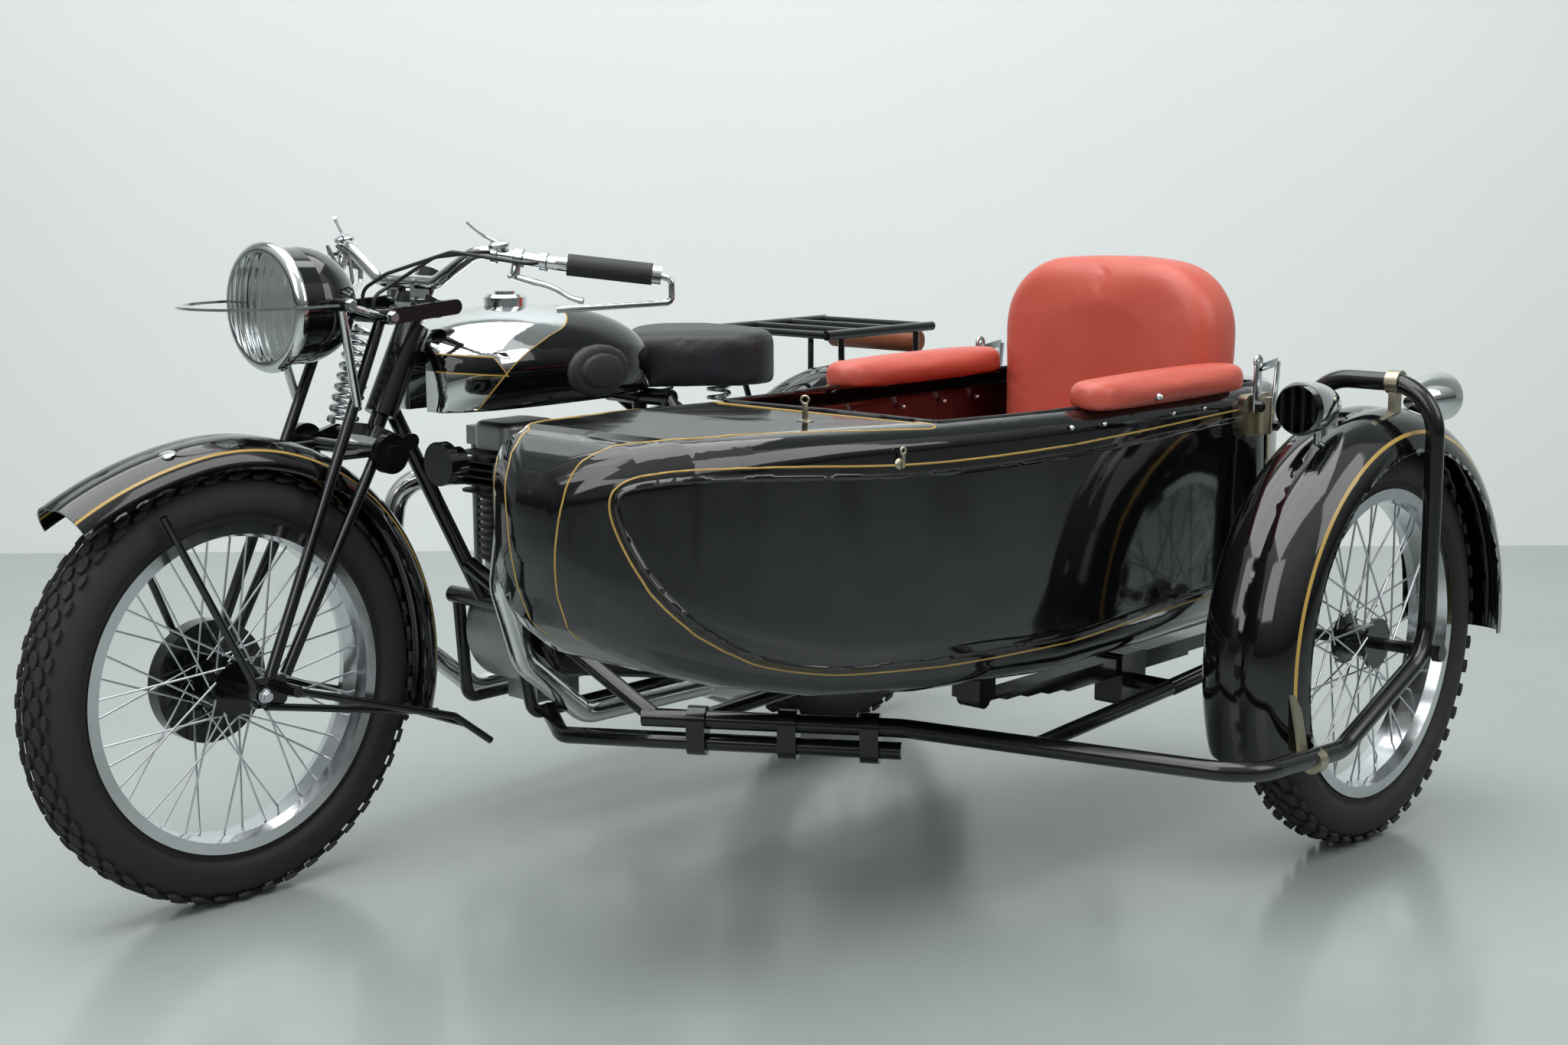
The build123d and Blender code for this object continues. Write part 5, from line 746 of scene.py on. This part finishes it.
def blade(name, points, radii):
    """Return a forged lever: a tapering round bar through places."""
    curve = bpy.data.curves.new(name, "CURVE")
    curve.dimensions = "3D"
    spline = curve.splines.new("NURBS")
    spline.points.add(len(points) - 1)
    for knot, point, radius in zip(spline.points, points, radii):
        knot.co = (*place(*point), 1)
        knot.radius = radius
    spline.order_u = 3
    spline.use_endpoint_u = True
    curve.bevel_depth = 0.001
    curve.bevel_resolution = 3
    curve.use_fill_caps = True
    piece = bpy.data.objects.new(name, curve)
    bpy.context.scene.collection.objects.link(piece)
    alone(piece)
    bpy.ops.object.convert(target="MESH")
    piece = begin(name)
    settle(piece)
    smooth(piece, 60)
    return piece


BAR_FROM, BAR_TO = Vector((450, 270, 966)), Vector((380, 165, 985))


def on_bar(off, side):
    """Return the bar's middle at a distance off the machine's middle, and the way along it."""
    at = BAR_FROM.lerp(BAR_TO, (BAR_FROM.y - off) / (BAR_FROM.y - BAR_TO.y))
    way = (BAR_TO - BAR_FROM).normalized()
    return Vector((at.x, side * at.y, at.z)), Vector((way.x, side * way.y, way.z))


def lever(name, at, side, path):
    """Return a lever whose places are given behind, outward and above its clamp, with its radius."""
    places = [at + Vector((behind, side * outward, above)) for behind, outward, above, _ in path]
    return blade(name, places, [radius for _, _, _, radius in path])


# Clamps on the bar: distance off the middle and width of each band, and where the levers sit
BANDS = [(255, 13), (222, 16), (190, 11)]
BRAKE_OFF, AIR_OFF = 222, 198
# Levers: place behind, outward and above the clamp, radius
BRAKE_LEVER = [(-4, -8, 4, 5), (8, 16, -4, 5.5), (32, 52, -14, 4.5), (48, 78, -34, 4), (58, 92, -36, 5.5)]
AIR_LEVER = [(-6, 0, 18, 3), (-16, -10, 24, 2.5), (-34, -22, 40, 2.2), (-44, -28, 52, 3.4)]
BAND_RINGS = [(0, 13), (0.1, 15), (0.9, 15), (1, 13)]
PERCH_RINGS = [(0, 7), (0.8, 8), (1, 6)]
CAP_RINGS = [(0, 12), (0.3, 17), (0.7, 17), (1, 12)]
for side, word in ((-1, "left"), (1, "right")):
    fittings = []
    for off, width in BANDS:
        at, way = on_bar(off, side)
        fittings.append(turned("band", BAND_RINGS, at - way * width / 2, at + way * width / 2))
    at, way = on_bar(BRAKE_OFF, side)
    perch_top, perch_end = at + Vector((-6, 0, -8)), at + Vector((-12, 0, -32))
    fittings.append(turned("perch", PERCH_RINGS, perch_top, perch_end))
    fittings.append(stud("perch_screw", at + Vector((-20, 0, -28)), (-1, 0, 0), 4, 4))
    fittings.append(lever("brake_lever", at + Vector((-10, 0, -30)), side, BRAKE_LEVER))
    at, way = on_bar(AIR_OFF, side)
    fittings.append(turned("lever_cap", CAP_RINGS, at + Vector((-4, 0, 9)), at + Vector((-6, 0, 21))))
    fittings.append(lever("air_lever", at, side, AIR_LEVER))
    dress(joined(fittings, f"bar_fittings_{word}"), spoke_chrome, "steering")

# Catches of the deck and the side door
DECK_CATCH, SIDE_CATCH = Vector((462, -778, 759)), Vector((490, -926, 708))
catches = [
    plate("latch_foot", DECK_CATCH, (14, 22, 3)),
    plate("latch_tongue", DECK_CATCH + Vector((0, 0, 13)), (3, 10, 26)),
    ring("latch_eye", DECK_CATCH + Vector((0, 0, 30)), (1, 0.6, 0), 5.5, 1.8),
    turned("catch_seat", [(0, 9), (0.6, 8), (1, 5)], SIDE_CATCH, SIDE_CATCH + Vector((0, -7, 0))),
    plate("catch_wing", SIDE_CATCH + Vector((0, -9, 6)), (5, 5, 22)),
    ring("catch_eye", SIDE_CATCH + Vector((0, -9, 19)), (0, 1, 0), 5, 1.8)]
dress(joined(catches, "body_catches"), zinc, "chassis")

# Studs: the armrests' screws, those along the body's sides and those that hold the lining
ARM_STUD_X, ARM_STUD_Z, ARM_STUD_OFF = 1056, 757, 284
BODY_STUDS = [(850, 727), (935, 725), (1125, 724), (1215, 724)]
BODY_STUD_OFF = 270
BOARD_STUDS_X, BOARD_STUD_Z, BOARD_STUD_OFF = (700, 830, 960, 1083, 1196, 1290), 700, 250
studs = []
for side in (-1, 1):
    at = (ARM_STUD_X, MIRROR_Y + side * ARM_STUD_OFF, ARM_STUD_Z)
    studs.append(stud("arm_stud", at, (0, side, 0), 6, 12))
for x, z in BODY_STUDS:
    for side in (-1, 1):
        studs.append(stud("body_stud", (x, MIRROR_Y + side * BODY_STUD_OFF, z), (0, side, 0), 4, 5.5))
for x in BOARD_STUDS_X:
    for side in (-1, 1):
        at = (x, MIRROR_Y + side * BOARD_STUD_OFF, BOARD_STUD_Z)
        studs.append(stud("board_stud", at, (0, -side, 0), 5, 9))
dress(joined(studs, "sidecar_studs"), spoke_chrome, "chassis")

# Hood irons: two uprights, a bridge and an eye on each side, with the nuts under them
IRON_OFF, NUT_OFF, NUT_TALL = 287, 286, 14
IRON_NUTS = [(1352, 716), (1404, 680)]
irons, iron_nuts = [], []
for side in (-1, 1):
    y = MIRROR_Y + side * IRON_OFF
    irons += [
        plate("hood_iron", (1352, y, 748), (22, 4, 84)),
        plate("hood_arm", (1408, y, 728), (14, 4, 118), (0, 8, 0)),
        plate("hood_bridge", (1382, y, 782), (64, 4, 14), (0, -6, 0)),
        ring("hood_eye", (1352, y, 790), (0, 1, 0), 9, 3.5)]
    for x, z in IRON_NUTS:
        at = Vector((x, MIRROR_Y + side * NUT_OFF, z))
        end = at + Vector((0, side * NUT_TALL, 0))
        iron_nuts.append(turned("iron_nut", [(0, 9), (0.8, 9), (1, 6)], at, end, 6))
dress(joined(irons, "hood_irons"), spoke_chrome, "chassis")
dress(joined(iron_nuts, "hood_iron_nuts"), tube_enamel, "chassis")

# A plain disc on the front mudguard's crown, standing square to it
DISC_AT = Vector((-101, -31, 703))
DISC_RINGS = [(0, 13), (0.5, 13), (0.8, 11.5), (1, 10)]
disc_way = Vector((DISC_AT.x, DISC_AT.y, DISC_AT.z - AXLE_Z)).normalized()
disc = turned("mudguard_disc", DISC_RINGS, DISC_AT - disc_way * 2, DISC_AT + disc_way * 3)
dress(disc, chrome, "steering")

# Knee pads: oval rubbers with a raised bare boss, in place of the plain solids
PAD_RINGS = [(0, 44), (0.5, 46), (0.72, 43), (0.8, 38), (0.81, 30), (0.94, 29), (1, 25)]
PAD_R, PAD_DEPTH, PAD_PROUD, PAD_EDGE = 46, 26, 3, 2
pads = []
low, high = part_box("knee_pads")
pad_x, pad_z = (low.x + high.x) * 500 + MIDDLE_X, (low.z + high.z) * 500
pad_wide, pad_high = (high.x - low.x) * 500, (high.z - low.z) * 500
pad_inner_y = high.y * 1000 + MIDDLE_Y - PAD_DEPTH
for side in (-1, 1):
    inner = Vector((pad_x, side * pad_inner_y, pad_z))
    outer = inner + Vector((0, side * (PAD_DEPTH + PAD_PROUD), 0))
    pad = turned("pad", PAD_RINGS, inner, outer, 16)
    shape(pad, "BEVEL", width=PAD_EDGE / 1000, segments=2, limit_method="ANGLE", angle_limit=radians(30))
    edit(pad)
    bpy.ops.transform.resize(value=(pad_wide / PAD_R, 1, pad_high / PAD_R), center_override=place(*inner))
    leave()
    settle(pad)
    smooth(pad, 40)
    pads.append(pad)
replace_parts(dress(joined(pads, "knee_rubbers"), grip_rubber, "chassis"), "knee_pads")

# Lamp: a polished bowl behind the glass, with its bulb
LAMP_Z = 905
BOWL_RINGS = [(0, 82), (0.2, 78), (0.5, 66), (0.8, 44), (1, 16)]
BULB_RINGS = [(0, 3), (0.15, 9), (0.4, 12), (0.7, 9), (1, 8)]
bowl = turned("lamp_bowl", BOWL_RINGS, (112, 0, LAMP_Z), (190, 0, LAMP_Z), 48)
edit(bowl)
bpy.ops.mesh.normals_make_consistent(inside=True)
leave()
dress(bowl, silvering, "steering")
bulb = turned("lamp_bulb", BULB_RINGS, (128, 0, LAMP_Z), (182, 0, LAMP_Z), 24)
dress(bulb, clear_glass, "steering")

# Stage and light, in metres
STAGE_SIZE, WALL_AHEAD = 30, 6.3
VIEW_YAW, VIEW_PITCH, VIEW_ROLL = 0.82725, -0.16681, -0.00516
EYE = Vector((-2.59217, -2.42868, 1.13923))
bpy.ops.mesh.primitive_plane_add(size=STAGE_SIZE, location=(0, 0, 0))
floor = begin("floor")
floor.data.materials.append(finish("painted_floor", "#939b99", "#a3aaa8", (0.14, 0.26), 500, 300, 0.02))
wall_at = EYE + Vector((sin(VIEW_YAW), cos(VIEW_YAW), 0)) * WALL_AHEAD
bpy.ops.mesh.primitive_plane_add(size=STAGE_SIZE, location=(wall_at.x, wall_at.y, 0),
                                 rotation=(pi / 2, 0, -VIEW_YAW))
wall = begin("wall")
wall.data.materials.append(finish("white_wall", "#e9eeed", "#eef2f1", (0.8, 0.9), 900, 40, 0.02))

world = bpy.data.worlds.new("room")
bpy.context.scene.world = world
world.use_nodes = True
tree = world.node_tree
sky = tree.nodes["Background"]
path = add(tree, "ShaderNodeLightPath")
where = add(tree, "ShaderNodeTexCoord")
split = add(tree, "ShaderNodeSeparateXYZ", links={"Vector": where.outputs["Generated"]})
level = add(tree, "ShaderNodeMapRange", links={"Value": split.outputs["Z"]},
            values={"From Min": 0.0, "From Max": 0.7, "To Min": 0.05, "To Max": 0.8})
seen = add(tree, "ShaderNodeMath", {"operation": "MAXIMUM"},
           links={0: level.outputs["Result"], 1: path.outputs["Is Camera Ray"]})
tree.links.new(seen.outputs[0], sky.inputs["Strength"])
sky.inputs["Color"].default_value = linear("#f2f6f6")

# Softboxes: place, aimed at, width, power
SOFTBOXES = [((-0.3, 0.2, 4.2), (0, 0, 0.4), 4.5, 190), ((-3.4, -0.6, 2.6), (0, 0, 0.6), 2.2, 38),
             ((1.4, -3.4, 2.8), (0.2, 0, 0.6), 2.2, 34)]
for index, (at, aim, width, power) in enumerate(SOFTBOXES):
    light = bpy.data.lights.new(f"softbox_{index}", "AREA")
    light.shape = "SQUARE"
    light.size = width
    light.energy = power
    lamp = bpy.data.objects.new(light.name, light)
    bpy.context.scene.collection.objects.link(lamp)
    lamp.location = at
    lamp.rotation_euler = (Vector(aim) - Vector(at)).to_track_quat("-Z", "Y").to_euler()

# Camera: its focal length in the photo's pixels, and the photo's width in them
FOCAL_PX, PHOTO_PX, SENSOR, SIGHT = 2900, 2048, 36, 60
lens = bpy.data.cameras.new("camera")
lens.sensor_width = SENSOR
lens.lens = FOCAL_PX * SENSOR / PHOTO_PX
lens.clip_end = SIGHT
camera = bpy.data.objects.new("camera", lens)
bpy.context.scene.collection.objects.link(camera)
toward = Vector((sin(VIEW_YAW) * cos(VIEW_PITCH), cos(VIEW_YAW) * cos(VIEW_PITCH), sin(VIEW_PITCH)))
level_right = Vector((cos(VIEW_YAW), -sin(VIEW_YAW), 0))
level_up = level_right.cross(toward)
right = level_right * cos(VIEW_ROLL) + level_up * sin(VIEW_ROLL)
up = level_up * cos(VIEW_ROLL) - level_right * sin(VIEW_ROLL)
camera.matrix_world = Matrix((
    (right.x, up.x, -toward.x, EYE.x), (right.y, up.y, -toward.y, EYE.y), (right.z, up.z, -toward.z, EYE.z),
    (0, 0, 0, 1)))
bpy.context.scene.camera = camera
bpy.context.scene.view_settings.view_transform = "Standard"
